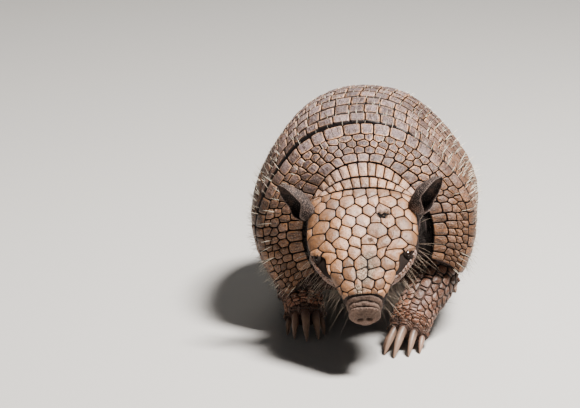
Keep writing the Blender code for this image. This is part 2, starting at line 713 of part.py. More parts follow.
def mouth_line():
    """The groove of the mouth, from one corner round under the nose to the other."""
    shares = np.linspace(-1, 1, 11)
    along = 0.0085 + 0.040 * np.abs(shares) ** 1.4
    angle = np.pi - np.sign(shares) * np.radians(58) * np.abs(shares) ** 0.6
    return tube("mouth", from_head(head_section(along, angle)), [0.0008] * 11, 5)


def ear_point(side, share, turn, inset):
    """A point of an ear: share of its length, angle round its cup, and depth into its wall."""
    axis, opening = unit(EAR_AXIS), unit(EAR_OPENING)
    across = np.cross(axis, opening)
    half = float(smooth_through(EAR_HALF_WIDTH, share)) - inset
    point = (np.array(EAR_BASE) + axis * EAR_LENGTH * share
             + across * half * math.sin(turn) - opening * half * 0.85 * math.cos(turn))
    return from_head(point * np.array([side, 1, 1]))


def ear_room(side):
    """The room that the root of an ear takes from the head."""
    turns = np.linspace(-math.pi, math.pi, 15)[:-1]
    return loft("ear_room", [[ear_point(side, share, turn, -1.4 * BETWEEN) for turn in turns]
                             for share in (0.0, 0.12, 0.40)])


def make_ear(name, side):
    """An ear: a closed tube at the root that opens into a thin-walled cup with a rounded tip."""
    shares = np.array([0.03, 0.12, 0.24, 0.38, 0.54, 0.70, 0.84, 0.94, 1.0])
    turns = np.linspace(-1, 1, 9)
    rings = []
    for share in shares:
        reach = math.pi * (0.93 - 0.36 * smooth_step((share - 0.10) / 0.35)) * (1 - 0.25 * share**4)
        outer = [ear_point(side, share, t * reach, 0.0) for t in turns]
        wall = EAR_WALL * (1 - 0.35 * share)
        if share < 0.10:
            wall = 0.8 * float(smooth_through(EAR_HALF_WIDTH, share))
        inner = [ear_point(side, share, t * reach * 0.97, wall) for t in turns[::-1]]
        rings.append(outer + inner)
    return shade(loft(name, rings, "ear"), 60)


def make_head():
    """The flesh of the head, with its lids, mouth line and nostrils, and room for its plates."""
    angles = np.linspace(0, 2 * math.pi, HEAD_SIDES, endpoint=False)
    rings = [from_head(head_section(np.full(HEAD_SIDES, a), angles)) for a in HEAD_STATIONS]
    head = loft("head", rings, "hide")
    join(head, [lid(side) for side in (-1, 1)])
    cuts = [mouth_line(), shield_room()] + nape_rooms()
    for side in (-1, 1):
        centre, _ = eye_place(side)
        cuts.append(ellipsoid("socket", centre, [EYE_RADIUS + BETWEEN] * 3, detail=2))
        cuts.append(ellipsoid("nostril", (side * 0.0042, 0.0052, -0.0185), (0.0021, 0.0034, 0.0015),
                              Matrix.Rotation(side * 0.5, 3, "Y"), detail=1))
        cuts.append(ear_room(side))
    return cut(head, cuts)


def limb_path(rows):
    """The centre line of a limb and its sizes, at even steps of a smooth curve through its rows."""
    knots = np.linspace(0, 1, len(rows))
    columns = [[row[0][0], row[0][1], row[0][2], row[1], row[2]] for row in rows]
    at = np.linspace(0, 1, LIMB_STEPS)
    made = np.stack([smooth_through(list(zip(knots, column)), at) for column in zip(*columns)], -1)
    return made[:, :3], made[:, 3:]


def limb_rings(rows, grow=0.0):
    """Rings of points round a limb, each square to its centre line."""
    points, sizes = limb_path(rows)
    ways = unit(np.gradient(points, axis=0))
    outward = np.sign(points[2][0])
    angles = np.linspace(0, 2 * math.pi, LIMB_SIDES, endpoint=False)
    rings = []
    for point, way, (wide, deep) in zip(points, ways, sizes):
        side = np.array([outward, 0.0, 0.0])
        side = unit(side - way * side.dot(way))
        front = np.cross(way, side) * outward
        rings.append([point + side * (wide + grow) * math.cos(a) + front * (deep + grow) * math.sin(a)
                      for a in angles])
    return rings


def toe_places(rows, toes):
    """Where each toe ends: the place, heading, claw length and claw radius."""
    points, _ = limb_path(rows)
    heading = points[-1] - points[-3]
    heading = unit(np.array([heading[0], heading[1], 0.0]))
    inward = -np.sign(points[2][0])
    across = np.array([-inward, 0.0, 0.0])
    across = unit(across - heading * across.dot(heading))
    made = []
    for spread, length, height, claw, radius in toes:
        way = unit(heading + across * spread * 14)
        root = np.array([points[-1][0], points[-1][1], height]) + across * spread - heading * 0.004
        made.append((root, root + way * (length + 0.004), way, claw, radius))
    return made


def claw_points(start, way, length):
    """The centre line of a claw: forward and down in an arch to just above the floor."""
    shares = np.linspace(0, 1, 5)
    drop = start[2] - CLAW_LIFT
    reach = math.sqrt(length**2 - drop**2)
    rise = np.array([0, 0, 1.0])
    return [start + way * reach * s - rise * (drop * s - CLAW_ARCH * length * 4 * s * (1 - s)) for s in shares]


def make_limb(name, rows, toes):
    """A limb with raised scales on its outer and front faces, its toes and the room for its claws."""
    rings = limb_rings(rows)
    bm = bmesh.new()
    grid = [[bm.verts.new(p) for p in ring] for ring in rings]
    scales = []
    for step, (near, far) in enumerate(zip(grid, grid[1:])):
        for k in range(LIMB_SIDES):
            face = bm.faces.new((near[k], near[(k + 1) % LIMB_SIDES], far[(k + 1) % LIMB_SIDES], far[k]))
            on_front = k in (0, 1, 2, 3, 4, 5, 6)
            if on_front and step / len(grid) > LIMB_SCALE_START and step < len(grid) - 2:
                scales.append(face)
    bm.faces.new(grid[0])
    bm.faces.new(grid[-1])
    bmesh.ops.recalc_face_normals(bm, faces=bm.faces)
    if LIMB_SCALE_RAISE:
        bmesh.ops.inset_individual(bm, faces=scales, thickness=0.0008, depth=LIMB_SCALE_RAISE)
    limb = new_object(name, bm, "scaly_hide")
    places = toe_places(rows, toes)
    pads = [tube("toe", [root, (root + end) / 2, end], [0.0056, 0.0054, radius + 0.0012], 7)
            for root, end, _, _, radius in places]
    join(limb, pads)
    floor = bmesh.new()
    bmesh.ops.create_cube(floor, size=1.0)
    for vertex in floor.verts:
        vertex.co = Vector((vertex.co.x, vertex.co.y, SOLE_Z + vertex.co.z * 0.1 - 0.05))
    cuts = [new_object("floor", floor), shell_room()]
    claws = []
    for number, (_, end, way, length, radius) in enumerate(places, 1):
        start = end - way * 0.003
        points = claw_points(start, way, length + 0.003)
        sizes = [radius * (1 - s**1.6) + 0.0004 for s in np.linspace(0, 1, len(points))]
        wide = [(CLAW_SQUASH * size, size) for size in sizes]
        claws.append(shade(tube(f"{name}_claw_{number}", points, wide, 6, "claw")))
        grown = [(CLAW_SQUASH * size + BETWEEN, size + BETWEEN) for size in sizes[:3]]
        room = [points[0] - way * BETWEEN, points[1], points[2]]
        cuts.append(tube("claw_room", room, grown, 6))
    return cut(limb, cuts), claws


def limb_room(rows):
    """The room that the upper part of a limb takes from the trunk."""
    rings = limb_rings(rows, UNDER_PLATES + BETWEEN)
    points, _ = limb_path(rows)
    way = unit(points[1] - points[0])
    rings[0] = [p - way * 2 * BETWEEN for p in rings[0]]
    return loft("limb_room", rings[:9])


def tail_rings(count, sides, grow=0.0):
    """Rings of points along the tail, with its centre line and its way at each."""
    knots = np.linspace(0, 1, len(TAIL))
    columns = [[row[0][0], row[0][1], row[0][2], row[1]] for row in TAIL]
    at = np.linspace(0, 1, count)
    made = np.stack([smooth_through(list(zip(knots, column)), at) for column in zip(*columns)], -1)
    points, radii = made[:, :3], made[:, 3] + grow
    ways = unit(np.gradient(points, axis=0))
    side = np.array([1.0, 0.0, 0.0])
    rings = []
    turns = np.arange(sides) * 2 * math.pi / sides
    for point, way, radius in zip(points, ways, radii):
        across = unit(side - way * side.dot(way))
        up = np.cross(across, way)
        rings.append([point + (across * math.cos(a) + up * math.sin(a)) * radius for a in turns])
    return rings, points, ways


def make_tail():
    """The tail, ringed with rows of small raised scutes."""
    rings, _, _ = tail_rings(TAIL_RINGS, TAIL_SIDES)
    bm = bmesh.new()
    grid = [[bm.verts.new(p) for p in ring] for ring in rings]
    scutes = []
    for step, (near, far) in enumerate(zip(grid, grid[1:])):
        for k in range(TAIL_SIDES):
            j = (k + 1) % TAIL_SIDES
            face = bm.faces.new((near[k], near[j], far[j], far[k]))
            if step < TAIL_RINGS - 4:
                scutes.append(face)
    bm.faces.new(grid[0])
    bm.faces.new(grid[-1])
    bmesh.ops.recalc_face_normals(bm, faces=bm.faces)
    if TAIL_SCUTE_RAISE:
        bmesh.ops.inset_individual(bm, faces=scutes, thickness=0.0007, depth=TAIL_SCUTE_RAISE)
    return new_object("tail", bm, "scaly_hide")


def tail_room():
    rings, points, ways = tail_rings(TAIL_RINGS, 20, BETWEEN * 3)
    first = [np.array(p) - ways[0] * BETWEEN * 2 for p in rings[0]]
    return loft("tail_room", [first] + rings[1:4])


def clear_scene():
    """Removes whatever the scene holds."""
    for obj in list(bpy.data.objects):
        bpy.data.objects.remove(obj)


def stand_on_origin(pieces):
    """Parents every piece to one empty, so that the origin is under the middle of the whole box."""
    bpy.context.view_layer.update()
    corners = np.vstack([[tuple(v.co) for v in piece.data.vertices] for piece in pieces])
    middle = (corners.min(axis=0) + corners.max(axis=0)) / 2
    base = bpy.data.objects.new("armadillo", None)
    bpy.context.scene.collection.objects.link(base)
    base.location = (-middle[0], -middle[1], -corners[:, 2].min())
    for piece in pieces:
        piece.parent = base


def main():
    clear_scene()
    pieces = [make_shoulder_shield(), make_pelvic_shield(), make_head_shield()]
    pieces += [make_band(index) for index in range(BAND_COUNT)]
    pieces += make_neck_bands()
    head = make_head()
    neck = cut(loft("neck", neck_rings(), "hide"), nape_rooms() + [shell_room(0.03)])
    limbs = {"foreleg_left": (FORE_LEFT, FORE_TOES), "foreleg_right": (FORE_RIGHT, FORE_TOES),
             "hindleg_left": (HIND_LEFT, HIND_TOES), "hindleg_right": (HIND_RIGHT, HIND_TOES)}
    trunk = cut(make_trunk(), [tail_room(), shell_room(0.03)] + nape_rooms()
                + [limb_room(rows) for rows, _ in limbs.values()])
    pieces += [head, neck, trunk, make_tail()]
    for name, (rows, toes) in limbs.items():
        limb, claws = make_limb(name, rows, toes)
        pieces += [limb] + claws
    for name, side in (("left", 1), ("right", -1)):
        pieces += [make_ear(f"ear_{name}", side), make_eye(f"eye_{name}", side)]
    stand_on_origin(pieces)


main()
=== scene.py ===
"""The looks of a six-banded armadillo at life size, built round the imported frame.

X is the animal's left, -Y its front and Z up, in metres. Every piece is laid out in the design's own
coordinates, the same as the solids', and SHIFT carries it to where the frame stands.
"""

import math
import random

import bmesh
import bpy
import numpy as np
from bpy.props import FloatProperty, FloatVectorProperty, IntProperty, PointerProperty
from mathutils import Matrix, Vector


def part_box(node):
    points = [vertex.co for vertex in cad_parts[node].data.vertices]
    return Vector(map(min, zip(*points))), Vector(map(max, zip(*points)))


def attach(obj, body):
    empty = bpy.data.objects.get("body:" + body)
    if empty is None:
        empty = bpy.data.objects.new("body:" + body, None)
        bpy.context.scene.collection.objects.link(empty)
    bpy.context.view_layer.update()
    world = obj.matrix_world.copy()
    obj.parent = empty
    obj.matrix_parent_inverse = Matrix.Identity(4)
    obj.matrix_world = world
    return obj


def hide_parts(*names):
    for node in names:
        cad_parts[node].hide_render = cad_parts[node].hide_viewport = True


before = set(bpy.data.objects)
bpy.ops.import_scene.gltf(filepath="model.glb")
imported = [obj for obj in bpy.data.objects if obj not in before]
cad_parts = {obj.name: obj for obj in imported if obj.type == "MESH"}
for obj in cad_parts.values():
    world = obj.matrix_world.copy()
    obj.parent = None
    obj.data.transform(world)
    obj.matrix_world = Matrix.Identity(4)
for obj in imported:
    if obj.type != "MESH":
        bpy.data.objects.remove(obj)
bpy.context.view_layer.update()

bl_info = {
    "name": "Armadillo model",
    "version": (1, 0, 0),
    "blender": (4, 5, 0),
    "location": "3D View > Sidebar > Armadillo",
    "description": "Builds the plates, skin, ears, eyes, claws and hair of a life-size armadillo",
    "category": "Add Mesh",
}

# Armour, measured along the middle of the back from the front rim of the shoulder shield
SHOULDER_LENGTH = 0.050
BAND_COUNT = 7
BAND_PITCH = 0.0145
PELVIS_START = SHOULDER_LENGTH + BAND_COUNT * BAND_PITCH
SHELL_LENGTH = 0.300
BETWEEN = 0.00035
BRISTLE_REACH = 0.005
BAND_LIP = 0.0006
OPEN_GAP = 0.0042
BACK_HEIGHT = 0.207
BACK_TOP_Y = 0.020

# Each row is a distance along the shell and the slope, size or angle there
BACK_SLOPE = ((0, 32), (0.050, 26), (0.118, 0), (0.1515, -13), (0.215, -38), (0.265, -60), (0.300, -74))
HALF_WIDTH = ((-0.010, 0.049), (0, 0.059), (0.018, 0.080), (0.050, 0.0995), (0.100, 0.1035), (0.150, 0.1035),
              (0.210, 0.096), (0.260, 0.078), (0.300, 0.050))
MID_HEIGHT = ((0, 0.100), (0.150, 0.100), (0.210, 0.097), (0.260, 0.089), (0.300, 0.077))
EDGE_ANGLE = ((0, 117), (0.050, 127), (0.150, 127), (0.210, 119), (0.260, 106), (0.300, 92))
FLANK_FLATNESS = 0.085
UNDER_PLATES = 0.0038
FORWARD_SWEEP = ((0, -0.002), (0.050, -0.014), (0.150, -0.014), (0.220, -0.010), (0.300, 0))
BELLY_DROP = ((0, 0.004), (0.050, 0.006), (0.150, 0.007), (0.260, 0.008), (0.300, 0.014))
CHEST_LEAN = ((0, 0.030), (0.018, 0.026), (0.040, 0.016), (0.070, 0.004), (0.110, 0))

# How the walk turns the front of the body
ROLL_FRONT = math.radians(8.5)
ROLL_REAR = math.radians(1.5)
ROLL_HEIGHT = 0.10
TURN_START = 0.09
TURN_LENGTH = 0.15
SWING = 0.9
SWING_START = 0.02

# Head, in its own frame: X to its left, Y back from the nose, Z up from the head shield
HEAD_PITCH = math.radians(40)
HEAD_YAW = math.radians(6)
HEAD_ROLL = math.radians(4.5)
HEAD_LENGTH = 0.130
HEAD_BACK_AT = (0.0065, -0.113, 0.148)
HEAD_HALF_WIDTH = ((0.005, 0.0115), (0.0075, 0.0136), (0.0105, 0.0130), (0.015, 0.0146), (0.0214, 0.0174),
                   (0.0267, 0.0206), (0.032, 0.0231), (0.0373, 0.0260), (0.043, 0.0335), (0.049, 0.0378),
                   (0.057, 0.0425), (0.076, 0.0488), (0.095, 0.0492), (0.112, 0.0486), (0.130, 0.0474))
HEAD_TOP = ((0.005, -0.0085), (0.0075, -0.0062), (0.0105, -0.0065), (0.015, -0.0040), (0.024, -0.0010),
            (0.045, 0.0015), (0.076, 0.0030), (0.112, 0.0012), (0.130, -0.0020))
HEAD_UNDER = ((0.005, -0.0295), (0.0075, -0.0315), (0.0105, -0.0310), (0.016, -0.0330), (0.040, -0.0430),
              (0.076, -0.0560), (0.112, -0.0620), (0.130, -0.0640))
HEAD_SHOULDER = ((0.005, 0.0100), (0.014, 0.0110), (0.040, 0.0150), (0.076, 0.0190), (0.130, 0.0240))
HEAD_LEAN = ((0.057, 0), (0.076, 0.06), (0.095, 0.18), (0.112, 0.36), (0.130, 0.56))
HEAD_ROUNDNESS = 2.9
JAW_ROUNDNESS = 1.15
HEAD_MIDDLE = np.array([0, 0.06, -0.025])
SHIELD_FRONT = 0.014
SHIELD_BACK = 0.129
SHIELD_HALF_WIDTH = ((0, 0.0140), (0.064, 0.0171), (0.11, 0.0202), (0.157, 0.0226), (0.203, 0.0252),
                     (0.249, 0.0280), (0.295, 0.0306), (0.40, 0.0325), (0.47, 0.0420), (0.50, 0.0450),
                     (0.65, 0.0478), (0.80, 0.0472), (0.92, 0.0468), (1.0, 0.0450))

# How far the side edges of the head shield reach forward, and how much of that its rear takes back
SHIELD_BOW = 0.024
SHIELD_UNBOW = 0.0165
SHIELD_LIFT = 0.0012

# The two neck bands, as shares of the way from the shoulder shield to the head shield
NECK_BAND_EDGES = ((0.03, 0.54), (0.57, 0.96))
NECK_REACH_SHELL = 0.54
NECK_REACH_HEAD = 0.94

# Eyes and ears, in the head's frame
EYE_CENTRE = (0.039402, 0.060350, -0.004896)
EYE_WAY = (0.56123, -0.21897, 0.79817)
EYE_RADIUS = 0.0038
EYE_SUNK = 0.0014
# How far round each eye the skin is painted dark as shade in its sunken notch, and over what width that
# fades
EYE_SHADE_REACH = 0.0225
EYE_SHADE_FADE = 0.010
EAR_LENGTH = 0.038
EAR_BASE = (0.0470, 0.110, -0.0100)
EAR_AXIS = (0.655, 0.420, 0.628)
EAR_OPENING = (0.560, -0.785, -0.059)
EAR_HALF_WIDTH = ((0, 0.0088), (0.20, 0.0112), (0.45, 0.0124), (0.70, 0.0104), (0.90, 0.0064), (1.0, 0.0022))

# Limbs: each row is a point on the centre line and the half width and half depth there
FORE_LEFT = (((0.056, -0.036, 0.090), 0.020, 0.022), ((0.064, -0.044, 0.070), 0.021, 0.022),
             ((0.070, -0.056, 0.055), 0.0200, 0.0205), ((0.065, -0.074, 0.044), 0.0190, 0.0185),
             ((0.056, -0.090, 0.032), 0.0175, 0.0165), ((0.050, -0.101, 0.0205), 0.0175, 0.0190),
             ((0.048, -0.109, 0.0148), 0.0172, 0.0195))
FORE_RIGHT = (((-0.050, -0.030, 0.084), 0.020, 0.022), ((-0.057, -0.032, 0.064), 0.021, 0.022),
              ((-0.061, -0.036, 0.048), 0.0200, 0.0205), ((-0.058, -0.042, 0.036), 0.0185, 0.0180),
              ((-0.052, -0.050, 0.027), 0.0175, 0.0165), ((-0.049, -0.060, 0.019), 0.0175, 0.0175),
              ((-0.048, -0.068, 0.0155), 0.0172, 0.0175))
HIND_LEFT = (((0.056, 0.080, 0.086), 0.025, 0.027), ((0.0635, 0.084, 0.060), 0.024, 0.026),
             ((0.067, 0.100, 0.042), 0.020, 0.021), ((0.066, 0.116, 0.026), 0.0145, 0.0155),
             ((0.066, 0.114, 0.013), 0.0145, 0.0142), ((0.066, 0.094, 0.011), 0.0165, 0.0122),
             ((0.066, 0.076, 0.009), 0.0178, 0.0102))
HIND_RIGHT = (((-0.056, 0.070, 0.086), 0.025, 0.027), ((-0.0635, 0.066, 0.060), 0.024, 0.026),
              ((-0.067, 0.073, 0.042), 0.020, 0.021), ((-0.066, 0.083, 0.0265), 0.0145, 0.0155),
              ((-0.066, 0.080, 0.013), 0.0145, 0.0142), ((-0.066, 0.060, 0.011), 0.0165, 0.0122),
              ((-0.066, 0.042, 0.009), 0.0178, 0.0102))

# Toes, from the inner to the outer one: spread across the foot, toe length, height where the claw
# starts, claw length and claw radius
FORE_TOES = ((-0.0130, 0.002, 0.014, 0.019, 0.0028), (-0.0072, 0.006, 0.020, 0.030, 0.0038),
             (0.0003, 0.008, 0.022, 0.034, 0.0042), (0.0078, 0.005, 0.019, 0.028, 0.0036),
             (0.0136, 0.001, 0.012, 0.017, 0.0027))
HIND_TOES = ((-0.0140, 0.004, 0.0075, 0.011, 0.0025), (-0.0075, 0.009, 0.0085, 0.015, 0.0031),
             (0.0, 0.011, 0.0090, 0.017, 0.0033), (0.0075, 0.009, 0.0085, 0.015, 0.0031),
             (0.0140, 0.004, 0.0075, 0.011, 0.0025))
LIMBS = {"foreleg_left": (FORE_LEFT, FORE_TOES), "foreleg_right": (FORE_RIGHT, FORE_TOES),
         "hindleg_left": (HIND_LEFT, HIND_TOES), "hindleg_right": (HIND_RIGHT, HIND_TOES)}
CLAW_ARCH = 0.10
CLAW_SQUASH = 0.85
CLAW_LIFT = 0.0007
CLAW_ROOT = 0.003
TAIL = (((0, 0.1525, 0.080), 0.0165), ((0.001, 0.172, 0.068), 0.0145), ((0.004, 0.205, 0.047), 0.0120),
        ((0.008, 0.250, 0.029), 0.0095), ((0.010, 0.300, 0.020), 0.0072), ((0.009, 0.345, 0.016), 0.0048),
        ((0.008, 0.368, 0.015), 0.0022))

# Scutes of the fine armour: the places of the lines between rows and the width of one scute
SHOULDER_ROWS = (0.0, 0.0105, 0.0187, 0.0268, 0.0348, SHOULDER_LENGTH)
SHOULDER_SCUTES = (26, 39, 43, 45, 33)
SHOULDER_ZIGZAG = (0, 0.10, 0.21, 0.21, 0.05, 0)
BAND_SCUTE = 0.0140
PELVIC_ROWS = 11
PELVIC_SCUTE = 0.0135
SHIELD_LINES = (0.045, 0.078, 0.160, 0.250, 0.345, 0.435, 0.530, 0.630, 0.730, 0.825, 0.915, 1.0)
SHIELD_ROWS = (6, 5, 5, 6, 6, 7, 7, 8, 8, 8, 9)
NECK_BAND_SCUTES = (14, 12)
BORDER_POINTS = 30
BED_UNDER = -0.0030
BED_REACH = (0.004, 0.996)
EAR_PEBBLE = 0.00185
TAIL_SCUTE = 0.0078
TAIL_REACH = (0.02, 0.96)

# The patch of scales on each cheek, in the head's frame: how far back and how far down it starts and runs
CHEEK_BACK = (0.0375, 0.0300)
CHEEK_DOWN = (-0.0070, 0.0210)
CHEEK_FROM_EYE = 0.0056
CHEEK_SCUTES = (6, 7, 6, 7, 6, 7, 6, 7, 6)

# The folds across the snout: the place, rise and width of each
SNOUT_FOLDS = ((0.0066, 0.0006, 0.0014), (0.0093, -0.0016, 0.00060), (0.0117, 0.0009, 0.0012),
               (0.0141, -0.0013, 0.00055), (0.0163, 0.0010, 0.0012), (0.0187, -0.0012, 0.00055),
               (0.0206, 0.0007, 0.0012), (0.0228, -0.0006, 0.0006))

# The edge of a scute, in millimetres: how far in from its border, and how high
SCUTE_PROFILE = ((0.04, -0.95), (0.11, -0.60), (0.20, -0.30), (0.36, -0.05), (0.68, 0.17), (1.15, 0.31),
                 (1.80, 0.40))
CROWN_SHARES = (0.80, 0.60, 0.40, 0.20)

# Worn and chipped places of the head shield: along, across, radius and depth
WORN_PLACES = ((0.325, 0.12, 0.0080, 0.0004), (0.255, 0.13, 0.0086, 0.0004), (0.190, 0.06, 0.0076, 0.0004),
               (0.742, 0.44, 0.0042, 0.0026), (0.735, 0.34, 0.0034, 0.0020), (0.495, 0.17, 0.0028, 0.0012),
               (0.08, -0.15, 0.0050, 0.0004))

# The photo's camera: its turn and rise about the animal, in degrees, its distance and the lens
CAMERA_TURN = 4.5
CAMERA_RISE = 15.0
CAMERA_AWAY = 2.6
CAMERA_FOCUS = 2808.0
CAMERA_AIM = (0.0, 0.0, 0.100)
AIM_PIXEL = (363.5, 207.0)
IMAGE_SIZE = (580, 408)
SENSOR = 36.0

# The studio lights: name, place, size, power and colour
LIGHTS = (("key_light", (0.80, -0.45, 1.95), 0.48, 186, (1.0, 0.955, 0.91)),
          ("fill_light", (-0.5, -2.2, 0.9), 1.4, 1.7, (0.94, 0.97, 1.0)),
          ("back_light", (-0.4, 1.6, 1.5), 0.9, 8, (1.0, 0.97, 0.92)))
LIGHT_AIM = (0, -0.1, 0.08)
SURROUND_STRENGTH = 0.052


def rgb(r, g, b):
    """A colour as a colour property takes it."""
    return (r, g, b, 1.0)


# Colours that are mixed into the horn, the skin and the claws in small amounts
STAIN = rgb(0.115, 0.062, 0.036)
COOL_HORN = rgb(0.235, 0.175, 0.168)
FLECK = rgb(0.075, 0.050, 0.045)
CHALK = rgb(0.64, 0.50, 0.41)
PIT = rgb(0.050, 0.028, 0.018)
WORN_GRIT = rgb(0.115, 0.075, 0.050)
CHIP_DARK = rgb(0.035, 0.018, 0.010)
CHIP_WARM = rgb(0.20, 0.095, 0.045)
# Near-black skin at the floor of the grooves: dark skin, and in part painted shade
GROOVE_SKIN_AND_SHADE = rgb(0.004, 0.003, 0.003)
LEG_SKIN = rgb(0.16, 0.085, 0.060)
# Painted shade in the sunken notch round each eye
EYE_NOTCH_SHADE = rgb(0.016, 0.009, 0.006)
SNOUT_MOTTLE = rgb(0.060, 0.038, 0.030)
# Painted highlight on the ridges between the neck's creases
NECK_RIDGE_HIGHLIGHT = rgb(0.130, 0.095, 0.092)
# Painted shade inside the nostrils
NOSTRIL_SHADE = rgb(0.010, 0.006, 0.005)
PAD_TINT = rgb(1.9, 1.65, 1.55)
EYE_BROWN = rgb(0.022, 0.012, 0.008)
# Dark skin inside the ear's cup, and in part painted shade there
EAR_CUP_SKIN_AND_SHADE = rgb(0.012, 0.008, 0.007)
EAR_WARM = rgb(0.20, 0.115, 0.085)
CLAW_STREAK = rgb(0.110, 0.064, 0.042)
CLAW_PINK = rgb(0.36, 0.20, 0.15)
# Painted shade high on the legs, under the shell, and the browner horn towards the toes
SCALE_SHADE_AND_TOE_BROWN = rgb(0.070, 0.030, 0.018)
CHEEK_CENTRE = rgb(0.15, 0.10, 0.088)
BRISTLE_ROOT = rgb(0.50, 0.38, 0.26)
DARK_HAIR_ROOT = rgb(0.012, 0.009, 0.008)
LIGHT_HAIR_ROOT = rgb(0.20, 0.14, 0.10)
LIGHT_HAIR = rgb(0.42, 0.33, 0.25)
FLOOR_COLOUR = rgb(0.52, 0.51, 0.49)
SURROUND = rgb(0.86, 0.88, 0.90)


def colour_property(name, description, default):
    """A colour that a user may change."""
    return FloatVectorProperty(name=name, description=description, default=default, size=4, min=0, max=1,
                               subtype="COLOR")


def length_property(name, description, default):
    """A length that a user may change."""
    return FloatProperty(name=name, description=description, default=default, min=0, unit="LENGTH",
                         subtype="DISTANCE")


class ArmadilloArmour(bpy.types.PropertyGroup):
    """Sizes and colours of the bony plates."""
    bead: length_property("Crown", "How far the middle of a scute stands above its edge", 0.00042)
    lumps: length_property("Lumps", "Depth of the uneven surface of the scutes", 0.00024)
    tilt: FloatProperty(name="Tilt", description="How unevenly the scutes lie", default=0.026)
    centre: colour_property("Middle of a scute", "Greyish horn in the middle of the scutes",
                            rgb(0.148, 0.106, 0.112))
    rim: colour_property("Edge of a scute", "Paler, rubbed horn near the edges", rgb(0.520, 0.272, 0.145))
    # Warmer horn, and also painted shade: the flanks darken towards the low edges of the shell
    flank: colour_property("Flanks", "Warmer horn low on the sides", rgb(0.150, 0.060, 0.017))
    # Dark skin, and also painted shade: it colours the scutes' edges that slope into the grooves and the
    # ends where band rows overlap, as well as the dark streaks
    groove: colour_property("Grooves", "Dark skin in the gaps between the scutes", rgb(0.018, 0.012, 0.010))
    head_centre: colour_property("Middle of a head plate", "Pinkish tan horn of the head shield",
                                 rgb(0.450, 0.262, 0.172))
    head_rim: colour_property("Edge of a head plate", "Caramel horn near the edges",
                              rgb(0.340, 0.150, 0.056))
    # Warmer horn, darker towards the sides of the head and down the snout, in part painted shade on the
    # head's sides
    head_low: colour_property("Sides of the head", "Warmer horn of the outer head plates",
                              rgb(0.270, 0.112, 0.036))
    worn: colour_property("Worn horn", "Rough, pale horn where a plate is worn", rgb(0.400, 0.310, 0.225))


class ArmadilloSkin(bpy.types.PropertyGroup):
    """Sizes and colours of the skin, ears, eyes and claws."""
    voxel: length_property("Grain", "Size of the smallest forms of the skin's mesh", 0.00160)
    hide: colour_property("Skin", "Dark bare skin", rgb(0.027, 0.019, 0.017))
    # Skin in the depth of the wrinkles: painted shade in the folds of the neck, snout and mouth, and the
    # dark lines of the skin's fine net
    crease: colour_property("Creases", "Skin in the depth of its wrinkles", rgb(0.012, 0.009, 0.008))
    snout: colour_property("Snout", "Greyish brown of the nose", rgb(0.122, 0.082, 0.064))
    scale: colour_property("Scales", "Orange horn of the legs' scales", rgb(0.170, 0.060, 0.029))
    scale_rim: colour_property("Edge of a scale", "Paler edges of the legs' scales",
                               rgb(0.270, 0.118, 0.062))
    ear: colour_property("Ear", "Grey pebbled skin of the ears", rgb(0.014, 0.010, 0.009))
    ear_rim: colour_property("Rim of an ear", "Paler bumps and rim of the ears", rgb(0.250, 0.178, 0.150))
    claw: colour_property("Claw", "Pale horn towards the tips", rgb(0.235, 0.150, 0.103))
    claw_root: colour_property("Root of a claw", "Browner horn at the roots", rgb(0.070, 0.044, 0.032))
    eye: colour_property("Eye", "Almost black eye", rgb(0.010, 0.006, 0.004))


class ArmadilloHair(bpy.types.PropertyGroup):
    """Sizes, numbers and colours of the bristles and hair."""
    bristles: IntProperty(name="Bristles", description="Long hairs along the edges of the bands",
                          default=1450)
    bristle_length: length_property("Bristle length", "Length of the long pale bristles", 0.021)
    hairs: IntProperty(name="Hairs", description="Hairs of the skin", default=5200)
    hair_length: length_property("Hair length", "Length of the hair of the skin", 0.013)
    pale: colour_property("Pale bristles", "Cream colour of the bristles", rgb(0.88, 0.79, 0.64))
    dark: colour_property("Dark hair", "Dark hair of the legs and chin", rgb(0.030, 0.022, 0.018))


def smooth_through(table, at):
    """Smooth values through a table of (place, value) rows, with no overshoot between them."""
    places, values = np.array(table, float).T
    at = np.clip(np.asarray(at, float), places[0], places[-1])
    spans = np.diff(places)
    slopes = np.diff(values) / spans
    agree = slopes[:-1] * slopes[1:] > 0
    total = np.where(agree, slopes[:-1] + slopes[1:], 1.0)
    inner = np.where(agree, 2 * slopes[:-1] * slopes[1:] / total, 0.0)
    ends = np.concatenate([slopes[:1], inner, slopes[-1:]])
    i = np.clip(np.searchsorted(places, at, side="right") - 1, 0, len(spans) - 1)
    s = (at - places[i]) / spans[i]
    held = values[i] * (1 + 2 * s) * (1 - s) ** 2 + values[i + 1] * s * s * (3 - 2 * s)
    leant = spans[i] * (ends[i] * s * (1 - s) ** 2 - ends[i + 1] * s * s * (1 - s))
    return held + leant


def smooth_step(s):
    """A smooth rise from 0 to 1 as s goes from 0 to 1."""
    s = np.clip(s, 0, 1)
    return s * s * (3 - 2 * s)


def unit(v):
    """Vectors at length 1."""
    v = np.asarray(v, float)
    return v / np.maximum(np.linalg.norm(v, axis=-1, keepdims=True), 1e-12)


def alike(*values):
    """Values as arrays of numbers of one shape."""
    return np.broadcast_arrays(*(np.asarray(v, float) for v in values))


def normal_of(face, u, v, nudge=1e-4):
    """The way a surface faces, from its points a little to each side."""
    return unit(np.cross(face(u + nudge, v) - face(u - nudge, v), face(u, v + nudge) - face(u, v - nudge)))


def facing(normal, way):
    """Normals turned to the side that a direction points to."""
    return normal * np.sign(np.sum(normal * way, axis=-1, keepdims=True))


def square_to(way, side):
    """A direction turned square to a line's way."""
    return unit(side - way * (way @ side)[..., None])


def lifted(points, normal, lift):
    """Points moved along their normals."""
    return points + normal * np.asarray(lift, float)[..., None]


def along_rows(rows, at):
    """Values followed smoothly through evenly spaced rows, at shares of the way."""
    knots = np.linspace(0, 1, len(rows))
    columns = np.array(rows, float).T
    return np.stack([smooth_through(np.stack([knots, column], -1), at) for column in columns], -1)


